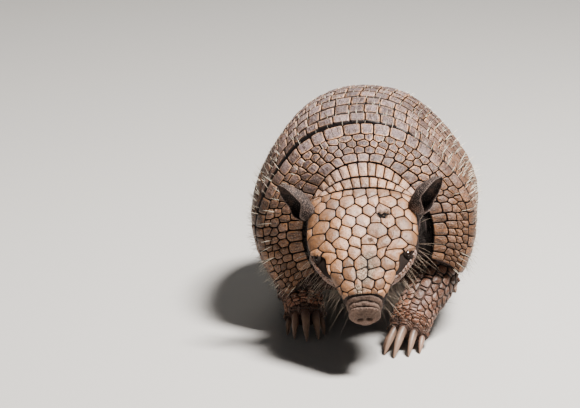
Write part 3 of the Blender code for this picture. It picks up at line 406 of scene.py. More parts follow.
def lumps(points, size, seed=0):
    """Smooth random heights from -1 to 1 at points, in lumps of about that size."""
    at = np.asarray(points, float) / size
    cell = np.floor(at).astype(np.int64)
    part = at - cell
    part = part * part * (3 - 2 * part)
    total = np.zeros(at.shape[:-1])
    for corner in np.ndindex(2, 2, 2):
        x, y, z = (cell[..., k] + corner[k] for k in range(3))
        mixed = (x * 73856093) ^ (y * 19349663) ^ (z * 83492791) ^ (seed * 2654435761)
        mixed = ((mixed ^ (mixed >> 13)) * 1274126177) & 0xFFFFFFFF
        height = ((mixed ^ (mixed >> 16)) & 0xFFFF) / 32767.5 - 1
        weight = np.prod([part[..., k] if corner[k] else 1 - part[..., k] for k in range(3)], axis=0)
        total += weight * height
    return total


# The line of the back, from just before the front rim to just past the rear one
LINE_AT = np.linspace(-0.010, SHELL_LENGTH + 0.010, 641)


def back_line():
    """The height and the length along Y of the middle of the back, from its slopes."""
    slope = np.radians(smooth_through(BACK_SLOPE, LINE_AT))
    step = LINE_AT[1] - LINE_AT[0]
    along = np.concatenate([[0], np.cumsum(np.cos(slope[:-1]) * step)])
    up = np.concatenate([[0], np.cumsum(np.sin(slope[:-1]) * step)])
    top = up.argmax()
    return along - along[top] + BACK_TOP_Y, up - up[top] + BACK_HEIGHT


BACK_Y, BACK_Z = back_line()


def shell_face(along, across):
    """Points of the armour's outer face: along the back, and across from -1, the right edge, to 1."""
    along, across = alike(along, across)
    top = np.interp(along, LINE_AT, BACK_Z)
    middle = smooth_through(MID_HEIGHT, along)
    angle = across * np.radians(smooth_through(EDGE_ANGLE, along))
    flank = np.where(np.cos(angle) > 0, 1 - FLANK_FLATNESS * np.sin(2 * angle) ** 2, 1.0)
    x = smooth_through(HALF_WIDTH, along) * np.sin(angle) * flank
    y = np.interp(along, LINE_AT, BACK_Y) + smooth_through(FORWARD_SWEEP, along) * (1 - np.cos(angle))
    return np.stack([x, y, middle + (top - middle) * np.cos(angle)], -1)


def posed(points):
    """Carries points of the straight body into the walk: the front rolls and swings to the left."""
    points = np.asarray(points, float)
    x, y, z = points[..., 0], points[..., 1], points[..., 2] - ROLL_HEIGHT
    roll = ROLL_REAR + (ROLL_FRONT - ROLL_REAR) * smooth_step((TURN_START - y) / TURN_LENGTH)
    swing = SWING * np.minimum(y - SWING_START, 0) ** 2
    return np.stack([x * np.cos(roll) - z * np.sin(roll) + swing, y,
                     z * np.cos(roll) + x * np.sin(roll) + ROLL_HEIGHT], -1)


def shell(along, across, lift=0.0):
    """Points of the posed armour, lifted off its outer face."""
    return posed(lifted(shell_face(along, across), -normal_of(shell_face, along, across), lift))


def head_frame():
    """The matrix from the head's own frame to the body's."""
    turn = (Matrix.Rotation(HEAD_YAW, 4, "Z") @ Matrix.Rotation(HEAD_PITCH, 4, "X")
            @ Matrix.Rotation(-HEAD_ROLL, 4, "Y"))
    back = turn @ Vector((0, HEAD_LENGTH, 0))
    return Matrix.Translation(Vector(HEAD_BACK_AT) - back) @ turn


HEAD = head_frame()
HEAD_TURN = np.array(HEAD)[:3, :3]


def from_head(points):
    """Points of the head's frame, in the body's."""
    matrix = np.array(HEAD)
    return np.asarray(points, float) @ matrix[:3, :3].T + matrix[:3, 3]


def to_head(points):
    """Points of the body's frame, in the head's."""
    matrix = np.array(HEAD.inverted())
    return np.asarray(points, float) @ matrix[:3, :3].T + matrix[:3, 3]


def head_levels(station):
    """The heights of the head's top, its widest level and its underside, in its own frame."""
    top = smooth_through(HEAD_TOP, station)
    return top, top - smooth_through(HEAD_SHOULDER, station), smooth_through(HEAD_UNDER, station)


def head_section(station, angle):
    """A point of the head's surface at an angle from the top, in the head's frame."""
    s, c = np.sin(angle), np.cos(angle)
    along = station = np.asarray(station, float)
    full = smooth_step((station - 0.055) / 0.045) + smooth_step((0.020 - station) / 0.008)
    power = np.where(c >= 0, 2 / HEAD_ROUNDNESS, 2 / (JAW_ROUNDNESS + 0.85 * full))
    highest, lean = smooth_through(HEAD_TOP, station), smooth_through(HEAD_LEAN, station)
    for _ in range(5):
        top, level, under = head_levels(along)
        z = level + np.where(c >= 0, top - level, level - under) * np.sign(c) * np.abs(c) ** power
        x = smooth_through(HEAD_HALF_WIDTH, along) * np.sign(s) * np.abs(s) ** power
        along = station - lean * (highest - z)
    return np.stack(np.broadcast_arrays(x, along, z), -1)


def head_side(station, angle, lift=0.0):
    """A point of the head's surface, lifted along its normal, in the body's frame."""
    point = head_section(station, angle)
    normal = facing(normal_of(head_section, station, angle), point - HEAD_MIDDLE)
    return from_head(lifted(point, normal, lift))


def head_top(x, along):
    """The height of the head's upper surface in its own frame."""
    top, level, _ = head_levels(along)
    share = np.clip(np.abs(x) / smooth_through(HEAD_HALF_WIDTH, along), 0, 0.985)
    return level + (top - level) * (1 - share**HEAD_ROUNDNESS) ** (1 / HEAD_ROUNDNESS)


def head_skin(x, along, lift=0.0):
    """A point on the head's upper surface, lifted along its normal."""
    nudge = 1e-4
    rise_x = (head_top(x + nudge, along) - head_top(x - nudge, along)) / (2 * nudge)
    rise_y = (head_top(x, along + nudge) - head_top(x, along - nudge)) / (2 * nudge)
    normal = unit(np.stack(np.broadcast_arrays(-rise_x, -rise_y, 1.0), -1))
    return lifted(np.stack(np.broadcast_arrays(x, along, head_top(x, along)), -1), normal, lift)


def shield(along, across, lift=0.0):
    """Points of the head shield: along from 0 at the snout to 1, across from -1 to 1."""
    wrap = 0.10 * smooth_step((0.36 - along) / 0.12) * (1 - np.abs(across) ** 7)
    x = across * smooth_through(SHIELD_HALF_WIDTH, along) * (1 + wrap)
    bow = SHIELD_BOW * along**2 - SHIELD_UNBOW * smooth_step((along - 0.50) / 0.50)
    y = SHIELD_FRONT + along * (SHIELD_BACK - SHIELD_FRONT) - bow * across**2
    return from_head(head_skin(x, y, lift))


def nape(along, across, lift=0.0):
    """Points of the nape: along from 0 at the shoulder shield to 1 at the head shield."""
    def face(u, v):
        rear = shell(np.zeros_like(v), v * NECK_REACH_SHELL)
        front = shield(np.ones_like(v), v * NECK_REACH_HEAD, np.full_like(v, SHIELD_LIFT))
        return rear + (front - rear) * u[..., None]

    along, across = alike(along, across)
    return lifted(face(along, across), normal_of(face, along, across, 1e-3), lift)


def eye_place(side):
    """The centre of an eyeball and the way it looks, in the head's frame."""
    mirror = Vector((side, 1, 1))
    return (Vector(EYE_CENTRE) - Vector(EYE_WAY) * EYE_SUNK) * mirror, Vector(EYE_WAY) * mirror


def eye_distance(points):
    """How far points of the body's frame are from the nearer eye."""
    return np.min([np.linalg.norm(points - np.array(HEAD @ eye_place(side)[0]), axis=-1)
                   for side in (-1, 1)], axis=0)


def frame_shift():
    """Where the frame stands this design, from the middle of the left eye."""
    low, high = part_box("eye_left")
    return np.array((low + high) / 2 - HEAD @ Vector(EYE_CENTRE))


SHIFT = frame_shift()


def keep_value(mesh, key, values):
    """Keeps a value for every point of a mesh."""
    mesh.attributes.new(key, "FLOAT", "POINT").data.foreach_set("value", values.astype(np.float32))


class Sheaf:
    """The points, faces and values of one mesh, gathered piece by piece."""

    def __init__(self):
        self.points, self.faces, self.values, self.count = [], [], {}, 0

    def add(self, points, faces, finish=0, **values):
        """Adds points and arrays of faces, with a value of each name for every point."""
        points = np.asarray(points, float).reshape(-1, 3)
        for name in set(values) | set(self.values):
            kept = self.values.setdefault(name, [np.zeros(self.count)])
            kept.append(np.broadcast_to(values.get(name, 0.0), len(points)).astype(float).ravel())
        for face in faces:
            self.faces.append((np.asarray(face, np.int64) + self.count, finish))
        self.points.append(points)
        self.count += len(points)

    def mesh(self, name):
        """One mesh of all that was gathered."""
        made = bpy.data.meshes.new(name)
        points = np.concatenate(self.points) + SHIFT
        made.vertices.add(len(points))
        made.vertices.foreach_set("co", points.astype(np.float32).ravel())
        sizes = np.concatenate([np.full(len(f), f.shape[1]) for f, _ in self.faces])
        made.loops.add(int(sizes.sum()))
        corners = np.concatenate([f.ravel() for f, _ in self.faces])
        made.loops.foreach_set("vertex_index", corners.astype(np.int32))
        made.polygons.add(len(sizes))
        made.polygons.foreach_set("loop_start", (np.cumsum(sizes) - sizes).astype(np.int32))
        finishes = np.concatenate([np.full(len(f), finish) for f, finish in self.faces])
        made.polygons.foreach_set("material_index", finishes.astype(np.int32))
        made.update(calc_edges=True)
        made.validate()
        for key, parts in self.values.items():
            keep_value(made, key, np.concatenate(parts))
        made.shade_smooth()
        return made


def linked(name, data):
    """A new object in the scene."""
    made = bpy.data.objects.new(name, data)
    bpy.context.scene.collection.objects.link(made)
    return made


def new_piece(name, mesh, materials, replaced=()):
    """Links a mesh as a piece of the model that rides on the body and stands for CAD nodes."""
    piece = linked(name, mesh)
    for material in materials:
        mesh.materials.append(material)
    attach(piece, "root")
    if replaced:
        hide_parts(*replaced)
    return piece


def scute_rows(edges, counts, zigzag=0.0, jitter=0.0, seed=1):
    """Cells in staggered rows, as points (along, across) and rings of indices into them.

    edges are the places of the lines between rows, and counts the cells of each row. Across runs
    from 0 to 1. Lines zigzag by a share of the row's depth, one for all or one for each line, which
    makes the cells six-sided.
    """
    draw = random.Random(seed)
    zigzag = np.broadcast_to(zigzag, len(edges))
    divisions = []
    for row, count in enumerate(counts):
        inner = [(k + (0.5 if row % 2 else 0.0)) / count for k in range(count + 1)]
        inner = [s for s in inner if 0.2 / count < s < 1 - 0.2 / count]
        divisions.append([0.0] + [s + draw.uniform(-jitter, jitter) / count for s in inner] + [1.0])
    points, lines = [], []
    for line, place in enumerate(edges):
        ends = 0 < line < len(counts)
        marks = {0.0: 0.0, 1.0: 0.0}
        for row, side in ((line - 1, -1), (line, 1)):
            if 0 <= row < len(counts):
                depth = edges[row + 1] - edges[row]
                for s in divisions[row][1:-1]:
                    marks[s] = side * zigzag[line] * depth if ends else 0.0
        kept = []
        for s in sorted(marks):
            if kept and s - kept[-1][0] < 1e-4:
                continue
            kept.append((s, len(points)))
            wander = draw.uniform(-jitter, jitter) * 0.3 * abs(edges[-1] - edges[0]) / len(counts)
            points.append((place + marks[s] + (wander if ends and 0 < s < 1 else 0.0), s))
        lines.append(kept)
    cells = []
    for row, marks in enumerate(divisions):
        for low, high in zip(marks, marks[1:]):
            under = [i for s, i in lines[row] if low - 1e-4 <= s <= high + 1e-4]
            over = [i for s, i in lines[row + 1] if low - 1e-4 <= s <= high + 1e-4]
            cells.append(under + over[::-1])
    return np.array(points), cells


def evenly(ring, count):
    """A closed ring of points laid out again at even distances, from its first point."""
    closed = np.vstack([ring, ring[:1]])
    walked = np.concatenate([[0], np.cumsum(np.linalg.norm(np.diff(closed, axis=0), axis=1))])
    at = np.linspace(0, walked[-1], count + 1)[:-1]
    return np.stack([np.interp(at, walked, closed[:, k]) for k in range(ring.shape[1])], -1)


def outlines(grid, place, rounding, count=BORDER_POINTS):
    """Rounded outlines of a grid's cells in metres about their middles, the middles and the scales."""
    points, cells = grid
    middles = np.array([(points[c].max(axis=0) + points[c].min(axis=0)) / 2 for c in cells])
    u, s = middles.T
    e = 1e-4
    per_u = np.linalg.norm(place(u + e, s, 0 * u) - place(u - e, s, 0 * u), axis=-1) / (2 * e)
    per_s = np.linalg.norm(place(u, s + e, 0 * u) - place(u, s - e, 0 * u), axis=-1) / (2 * e)
    scales = np.stack([per_u, per_s], -1)
    rings = np.array([evenly((points[c] - m) * k, count) for c, m, k in zip(cells, middles, scales)])
    for _ in range(rounding):
        rings = 0.5 * rings + 0.25 * (np.roll(rings, 1, axis=1) + np.roll(rings, -1, axis=1))
    return rings, middles, scales


def add_scutes(sheaf, grid, place, seed=1, gap=0.25, size=1.0, lean=0.0, lip=0.0, ridges=0.0, rounding=2,
               worn=(), depth=0.0022, bead=1.0, under=0.0, behind=0.0, flank=None, points=BORDER_POINTS):
    """Adds one raised, closed scute for each cell of a grid, laid on a surface.

    gap is half the width of the groove in millimetres, and size scales the whole edge profile. lean
    lifts the far edge of each scute, lip lifts the far edge of the grid, and ridges raises low ribs
    along each scute. depth is how far it reaches down, and bead scales its crown. under and behind are
    the shares of its length at its near and its far end that are painted dark as shade, where rows
    overlap, and flank gives how much of the low colour its horn takes: warmer horn, in part painted
    shade. points is how many points its border has, and rounding how often they are evened out.
    """
    settings = bpy.context.scene.armadillo_armour
    rings, middles, scales = outlines(grid, place, rounding, points)
    number, count, _ = rings.shape
    draw = np.random.default_rng(seed)
    tangent = np.roll(rings, -1, axis=1) - np.roll(rings, 1, axis=1)
    inward = unit(np.stack([-tangent[..., 1], tangent[..., 0]], -1))
    inward[np.sum(inward * rings, axis=(1, 2)) > 0] *= -1
    fit = np.minimum(1, np.linalg.norm(rings, axis=-1).min(axis=1) / 0.0042)[:, None, None]
    profile = ((SCUTE_PROFILE[0][0], -depth * 1e3 / size),) + SCUTE_PROFILE
    layers = [rings + inward * (gap + inset * size) * 1e-3 * fit for inset, _ in profile]
    heights = [height * size * 1e-3 for _, height in profile]
    insets = [inset * size for inset, _ in profile]
    inmost, highest, crown = layers[-1], heights[-1], settings.bead * bead
    for share in CROWN_SHARES:
        layers.append(inmost * share)
        heights.append(highest + crown * (1 - share**2))
        insets.append((SCUTE_PROFILE[-1][0] + 1.5 * (1 - share)) * size)
    flat = np.concatenate([np.stack(layers, 1).reshape(number, -1, 2), layers[0].mean(axis=1, keepdims=True),
                           np.zeros((number, 1, 2))], axis=1)
    lift = np.append(np.repeat(heights, count), [-depth, heights[-1] + crown * 0.04])
    edge = np.append(np.repeat(insets, count), [0.0, 3.2 * size])
    tilt = draw.normal(0, settings.tilt, (number, 2))
    wide = np.abs(flat).max(axis=1, keepdims=True)
    side, lie = flat[..., 1] / wide[..., 1], flat[..., 0] / wide[..., 0]
    along = middles[:, None, 0] + flat[..., 0] / scales[:, None, 0]
    across = middles[:, None, 1] + flat[..., 1] / scales[:, None, 1]
    solid = np.clip(edge / size * 2 - 0.2, 0, 1)
    # Painted shade: the near end, tucked under the scute before it, and the far end get a smaller edge value
    # and so take the groove's dark colour
    edge = edge * (smooth_step((lie + 1 - under) / 0.12) if under else 1.0)
    edge = edge * (0.25 + 0.75 * smooth_step((1 - behind - lie) / 0.10) if behind else 1.0)
    base = place(along, across, np.zeros_like(along))
    uneven = lumps(base, 0.0042, seed) + 0.7 * lumps(base, 0.0018, seed + 7)
    lift = lift + solid * np.einsum("nkd,nd->nk", flat, tilt) + lean * (lie + 1) / 2
    lift = lift + solid * settings.lumps * size * uneven
    lift = lift + ridges * solid * (np.cos(side * math.pi * 2.6) * (1 - np.abs(lie) ** 4) - 0.3)
    rub, hole = np.zeros_like(lift), np.zeros_like(lift)
    for spot_along, spot_across, radius, deep in worn:
        spot = place(np.array([spot_along]), np.array([(spot_across + 1) / 2]), np.zeros(1))
        away = np.linalg.norm(base - spot, axis=-1) / radius + 0.35 * lumps(base, 0.003, seed + 2)
        near = smooth_step(1.35 - away)
        lift = lift - near * solid * deep * (0.75 + 0.9 * lumps(base, 0.0014, seed + 5))
        rub = np.maximum(rub, near)
        hole = np.maximum(hole, near * (deep > 0.001))
    start, span = grid[0][:, 0].min(), np.ptp(grid[0][:, 0])
    lift = lift + lip * np.clip((along - start) / span, 0, 1.2)
    k, rows = np.arange(count), len(layers)
    after = (k + 1) % count
    quads = np.concatenate([np.stack([k, after, after + count, k + count], -1) + r * count
                            for r in range(rows - 1)])
    below = np.stack([after, k, np.full(count, rows * count)], -1)
    above = np.stack([k + (rows - 1) * count, after + (rows - 1) * count,
                      np.full(count, rows * count + 1)], -1)
    each = np.arange(number)[:, None, None] * flat.shape[1]
    way = out_way(place, middles[0])
    faces = [(part + each).reshape(-1, part.shape[1])[:, ::way] for part in (quads, below, above)]
    values = {"edge": edge, "tint": draw.random((number, 1)), "side": side, "lie": lie, "rub": rub,
              "hole": hole, "flank": flank(along, across) if flank else 0.0}
    sheaf.add(place(along, across, lift), faces,
              **{key: np.broadcast_to(value, lift.shape).ravel() for key, value in values.items()})


def out_way(place, middle):
    """The step that turns the corners of faces on a surface so that they look away from it."""
    u, s = np.reshape(middle, (2, 1))
    e = 1e-3
    here = place(u, s, np.zeros(1))
    up, across, ahead = (place(u + e * a, s + e * b, np.full(1, e * c)) - here
                         for a, b, c in ((0, 0, 1), (0, 1, 0), (1, 0, 0)))
    return 1 if np.sum(np.cross(ahead, across) * up) > 0 else -1


def add_bed(sheaf, low, high, place, top, steps, under=BED_UNDER, reach=BED_REACH):
    """Adds a closed slab under scutes, the skin that shows in their grooves."""
    u, s = np.meshgrid(np.linspace(low, high, steps[0] + 1), np.linspace(*reach, steps[1] + 1),
                       indexing="ij")
    flat = u.size
    both = np.concatenate([place(u.ravel(), s.ravel(), np.full(flat, level)) for level in (top, under)])
    ids = np.arange(flat).reshape(u.shape)
    upper = np.stack([ids[:-1, :-1], ids[1:, :-1], ids[1:, 1:], ids[:-1, 1:]], -1).reshape(-1, 4)
    rim = np.concatenate([ids[0, :-1], ids[:-1, -1], ids[-1, :0:-1], ids[:0:-1, 0]])
    after = np.roll(rim, -1)
    sides = np.stack([rim, after, after + flat, rim + flat], -1)
    way = out_way(place, ((low + high) / 2, 0.5))
    sheaf.add(both, [part[:, ::way] for part in (upper, upper[:, ::-1] + flat, sides)], finish=1)


def on_shell(u, s, h):
    """The shell's surface with across from 0 to 1."""
    return shell(u, 2 * s - 1, h)


def on_shoulder(u, s, h):
    """The shell's surface with the places across drawn closer together down the flanks."""
    across = 2 * s - 1
    return shell(u, across * (1.2 - 0.2 * across**2), h)


def low_share(u, s):
    """How low on the flanks a place of the armour is, which sets how much of the low colour, warmer horn and
    in part painted shade, it takes.
    """
    return np.abs(2 * s - 1)


def face_share(u, s):
    """How far out or how far down the snout a place of the head shield is."""
    return np.maximum(1.08 * np.abs(2 * s - 1), 1.12 - 1.9 * u)


def girth(along):
    """The length round the armour from edge to edge."""
    across = np.linspace(-1, 1, 121)
    return np.linalg.norm(np.diff(shell(np.full(121, along), across, np.zeros(121)), axis=0), axis=1).sum()


def node(tree, kind, inputs=None, **settings):
    """Adds a shader node, sets its values and links its inputs."""
    made = tree.nodes.new(kind)
    for key, value in settings.items():
        setattr(made, key, value)
    for key, value in (inputs or {}).items():
        if isinstance(value, bpy.types.NodeSocket):
            tree.links.new(value, made.inputs[key])
        else:
            made.inputs[key].default_value = value
    return made


def object_place(tree):
    """The object's own coordinates."""
    return node(tree, "ShaderNodeTexCoord").outputs["Object"]


def value_of(tree, name):
    """A value that the mesh keeps at its points."""
    return node(tree, "ShaderNodeAttribute", attribute_name=name).outputs["Fac"]


def maths(tree, operation, a, b, clamp=False):
    """One calculation with two numbers or sockets."""
    return node(tree, "ShaderNodeMath", {0: a, 1: b}, operation=operation, use_clamp=clamp).outputs[0]


def times(tree, a, b):
    """One number or socket times another."""
    return maths(tree, "MULTIPLY", a, b)


def plus(tree, a, b, clamp=False):
    """Two numbers or sockets together."""
    return maths(tree, "ADD", a, b, clamp)


def minus(tree, a, b, clamp=False):
    """One number or socket less another."""
    return maths(tree, "SUBTRACT", a, b, clamp)


def ramp(tree, value, low, high, to_low=0.0, to_high=1.0):
    """A smooth step of a value between two levels."""
    return node(tree, "ShaderNodeMapRange", {"Value": value, "From Min": low, "From Max": high,
                                             "To Min": to_low, "To Max": to_high},
                interpolation_type="SMOOTHSTEP").outputs["Result"]


def blend(tree, share, a, b, kind="MIX"):
    """A mix of two colours."""
    return node(tree, "ShaderNodeMix", {0: share, 6: a, 7: b}, data_type="RGBA", blend_type=kind,
                clamp_factor=True).outputs[2]


def noise(tree, scale, detail=3.0, seed=0.0, rough=0.55):
    """A noise over the object's own coordinates, in lumps of about 1 / scale metres."""
    turned = node(tree, "ShaderNodeMapping", {"Vector": object_place(tree),
                                              "Location": (seed, seed * 1.7, -seed)}).outputs[0]
    return node(tree, "ShaderNodeTexNoise", {"Vector": turned, "Scale": scale, "Detail": detail,
                                             "Roughness": rough}).outputs["Fac"]


def new_group(name, inputs):
    """A shader node group with named colours and numbers as inputs, and its input and output nodes."""
    tree = bpy.data.node_groups.new(name, "ShaderNodeTree")
    for key, default in inputs.items():
        kind = "NodeSocketColor" if isinstance(default, tuple) else "NodeSocketFloat"
        tree.interface.new_socket(name=key, in_out="INPUT", socket_type=kind).default_value = default
    for key, kind in (("Colour", "Color"), ("Roughness", "Float"), ("Height", "Float")):
        tree.interface.new_socket(name=key, in_out="OUTPUT", socket_type=f"NodeSocket{kind}")
    return tree, tree.nodes.new("NodeGroupInput").outputs, tree.nodes.new("NodeGroupOutput")


def put_out(tree, out, *values):
    """Links a group's colour, roughness and height to its outputs."""
    for value, socket in zip(values, out.inputs):
        tree.links.new(value, socket)
    return tree


def horn_group():
    """Horn of a scute: greyer in the middle, rubbed pale near the edge, and dark where it slopes into
    the groove, as dark skin and in part painted shade.
    """
    tree, given, out = new_group("Scute horn", {
        "Centre": rgb(0.2, 0.15, 0.12), "Rim": rgb(0.5, 0.35, 0.25), "Low": rgb(0.3, 0.15, 0.08),
        "Groove": rgb(0.02, 0.01, 0.01), "Worn": rgb(0.3, 0.25, 0.2), "Streaks": 0.5, "Grain": 1.0,
        "Speckle": 0.2})
    edge, tint, side, lie, flank, rub, hole = (
        value_of(tree, key) for key in ("edge", "tint", "side", "lie", "flank", "rub", "hole"))
    cloud = noise(tree, 210, 4.0)
    fine = noise(tree, 900, 4.0, 3.1)
    middle = ramp(tree, plus(tree, edge, times(tree, minus(tree, cloud, 0.5), 2.6)), 0.75, 2.0)
    colour = blend(tree, middle, given["Rim"], given["Centre"])
    # The low colour: warmer horn, and in part painted shade low on the shell's sides, on the head's sides
    # and high on the legs; the cool patches and pale flecks thin out where it lies
    colour = blend(tree, times(tree, ramp(tree, flank, 0.10, 0.66), 0.88), colour, given["Low"])
    where = node(tree, "ShaderNodeCombineXYZ", {"X": times(tree, side, 5.0), "Y": times(tree, lie, 0.9),
                                                "Z": times(tree, tint, 40.0)}).outputs[0]
    streak = node(tree, "ShaderNodeTexNoise", {"Vector": where, "Scale": 1.0, "Detail": 3.0}).outputs["Fac"]
    streak = times(tree, ramp(tree, streak, 0.46, 0.62), given["Streaks"])
    dark = times(tree, streak, ramp(tree, edge, 0.5, 1.1))
    colour = blend(tree, dark, colour, given["Groove"])
    stain = times(tree, ramp(tree, noise(tree, 270, 5.0, 17.0), 0.50, 0.66), 0.7)
    stain = plus(tree, ramp(tree, noise(tree, 95, 5.0, 9.0), 0.50, 0.72), stain, True)
    colour = blend(tree, times(tree, stain, 0.50), colour, STAIN)
    cool = times(tree, ramp(tree, noise(tree, 48, 4.0, 21.0), 0.48, 0.64), minus(tree, 1.0, flank, True))
    colour = blend(tree, times(tree, cool, 0.50), colour, COOL_HORN)
    fleck = ramp(tree, noise(tree, 620, 3.0, 14.0), 0.53, 0.64)
    colour = blend(tree, times(tree, fleck, given["Speckle"]), colour, FLECK)
    pale = times(tree, ramp(tree, fine, 0.52, 0.66), minus(tree, 1.0, times(tree, flank, 0.7)))
    colour = blend(tree, times(tree, pale, 0.42), colour, CHALK)
    pits = node(tree, "ShaderNodeTexVoronoi", {"Vector": object_place(tree),
                                               "Scale": 330.0}).outputs["Distance"]
    pit = times(tree, ramp(tree, pits, 0.10, 0.24, 1.0, 0.0), ramp(tree, cloud, 0.42, 0.55))
    colour = blend(tree, times(tree, pit, 0.75), colour, PIT)
    grit = ramp(tree, noise(tree, 700, 5.0, 6.0, 0.7), 0.42, 0.60)
    colour = blend(tree, times(tree, rub, 0.92), colour, blend(tree, grit, WORN_GRIT, given["Worn"]))
    colour = blend(tree, ramp(tree, hole, 0.25, 0.75), colour, blend(tree, grit, CHIP_DARK, CHIP_WARM))
    colour = node(tree, "ShaderNodeHueSaturation", {
        "Color": colour, "Value": ramp(tree, tint, 0.0, 1.0, 0.66, 1.26)}).outputs[0]
    # Painted shade in part: where the scute slopes into the groove, its horn takes the groove's dark skin
    # colour
    deep = ramp(tree, plus(tree, edge, times(tree, fine, 0.25)), 0.36, 0.80, 1.0, 0.0)
    colour = blend(tree, deep, colour, given["Groove"])
    rough = plus(tree, plus(tree, 0.31, times(tree, fine, 0.38)), times(tree, rub, 0.22), True)
    height = plus(tree, times(tree, fine, 0.55), times(tree, cloud, 0.65))
    height = minus(tree, height, times(tree, pit, 1.1))
    height = minus(tree, height, times(tree, dark, 0.5))
    height = plus(tree, height, times(tree, times(tree, rub, grit), 1.6))
    return put_out(tree, out, colour, rough, times(tree, height, given["Grain"]))


def hide_group():
    """Bare skin: a net of fine wrinkles with dark creases between small flat pads."""
    tree, given, out = new_group("Bare hide", {"Skin": rgb(0.06, 0.045, 0.04),
                                               "Crease": rgb(0.01, 0.01, 0.01), "Size": 480.0, "Net": 1.0})
    whole = object_place(tree)
    bent = node(tree, "ShaderNodeTexNoise", {"Vector": whole, "Scale": 160.0,
                                             "Detail": 2.0}).outputs["Color"]
    moved = node(tree, "ShaderNodeVectorMath", {0: bent, 1: (0.004, 0.004, 0.004)}, operation="MULTIPLY")
    where = node(tree, "ShaderNodeVectorMath", {0: whole, 1: moved.outputs[0]}, operation="ADD").outputs[0]
    cells = node(tree, "ShaderNodeTexVoronoi", {"Vector": where, "Scale": given["Size"]},
                 feature="DISTANCE_TO_EDGE").outputs["Distance"]
    pad = ramp(tree, cells, 0.0, 0.12)
    shown = minus(tree, 1.0, times(tree, minus(tree, 1.0, pad), given["Net"]))
    fine = noise(tree, 1500, 3.0, 2.0)
    cloud = noise(tree, 60, 3.0, 5.0)
    colour = blend(tree, shown, given["Crease"], given["Skin"])
    soft = blend(tree, 0.7, given["Skin"], blend(tree, 1.0, given["Skin"], PAD_TINT, "MULTIPLY"))
    colour = blend(tree, times(tree, ramp(tree, cloud, 0.4, 0.7), 0.5), colour, soft)
    rough = plus(tree, 0.62, times(tree, fine, 0.3))
    return put_out(tree, out, colour, rough, plus(tree, pad, times(tree, fine, 0.35)))


def new_material(name):
    """An empty material, its tree and its Principled shader."""
    made = bpy.data.materials.new(name)
    made.use_nodes = True
    return made, made.node_tree, made.node_tree.nodes["Principled BSDF"]


def group_node(tree, name, build, **values):
    """A node group placed in a tree with its own values, and built if it isn't there yet."""
    made = node(tree, "ShaderNodeGroup", node_tree=bpy.data.node_groups.get(name) or build())
    for key, value in values.items():
        made.inputs[key].default_value = value
    return made


def finish_with(tree, shader, colour, rough, height, depth, distance, specular=0.5):
    """Links a colour, a roughness and a bump to a shader."""
    tree.links.new(colour, shader.inputs["Base Color"])
    tree.links.new(rough, shader.inputs["Roughness"])
    bump = node(tree, "ShaderNodeBump", {"Height": height, "Strength": depth, "Distance": distance})
    tree.links.new(bump.outputs[0], shader.inputs["Normal"])
    shader.inputs["Specular IOR Level"].default_value = specular


def grouped_material(name, group, build, depth, specular, **values):
    """The material of that name, built once from a node group with its own values."""
    if name in bpy.data.materials:
        return bpy.data.materials[name]
    made, tree, shader = new_material(name)
    finish_with(tree, shader, *group_node(tree, group, build, **values).outputs, depth, 0.0006, specular)
    return made


def horn_material(scene, name, centre, rim, low, streaks, grain=1.0, speckle=0.2, specular=0.5):
    """A material of scute horn."""
    armour = scene.armadillo_armour
    return grouped_material(name, "Scute horn", horn_group, 0.5, specular, Centre=centre, Rim=rim, Low=low,
                            Groove=armour.groove, Worn=armour.worn, Streaks=streaks, Grain=grain,
                            Speckle=speckle)


def groove_material(scene):
    """The dark skin in the grooves of the plates, painted near black, in part as shade deep in the grooves.
    """
    return grouped_material("groove_skin_and_shade", "Bare hide", hide_group, 0.6, 0.05, Skin=GROOVE_SKIN_AND_SHADE,
                            Crease=scene.armadillo_skin.crease, Size=1400.0)


def armour_materials(scene):
    """The horn of the shell and the dark skin, in part painted shade, in its grooves."""
    a = scene.armadillo_armour
    return [horn_material(scene, "shell_horn", a.centre, a.rim, a.flank, 0.85, speckle=0.60, specular=0.22),
            groove_material(scene)]


def head_materials(scene):
    """The paler horn of the head and nape, and the dark skin, in part painted shade, in its grooves."""
    a = scene.armadillo_armour
    return [horn_material(scene, "head_horn", a.head_centre, a.head_rim, a.head_low, 0.20, 1.6, 0.48),
            groove_material(scene)]


class ARMADILLO_OT_shoulder_shield(bpy.types.Operator):
    """Builds the shield over the shoulders, five rows of scutes"""
    bl_idname = "armadillo.shoulder_shield"
    bl_label = "Shoulder shield"

    def execute(self, context):
        sheaf = Sheaf()
        grid = scute_rows(SHOULDER_ROWS, SHOULDER_SCUTES, SHOULDER_ZIGZAG, 0.17, seed=3)
        add_scutes(sheaf, grid, on_shoulder, seed=3, gap=0.33, points=26, rounding=1, flank=low_share)
        add_bed(sheaf, 0.0006, SHOULDER_LENGTH - 0.0006, on_shell, -0.0008, (14, 120))
        new_piece("shoulder_plates", sheaf.mesh("shoulder_plates"), armour_materials(context.scene),
                  ["shoulder_shield"])
        return {"FINISHED"}


def band_front(index, across):
    """Where a band starts: the first one stands open on the right side, as the body bends."""
    start = SHOULDER_LENGTH + index * BAND_PITCH
    if index:
        return start + BETWEEN * np.ones_like(across)
    open_share = smooth_step((0.25 - across) / 0.55) * smooth_step((across + 1.25) / 0.5)
    return start + BETWEEN + 0.0009 + OPEN_GAP * open_share


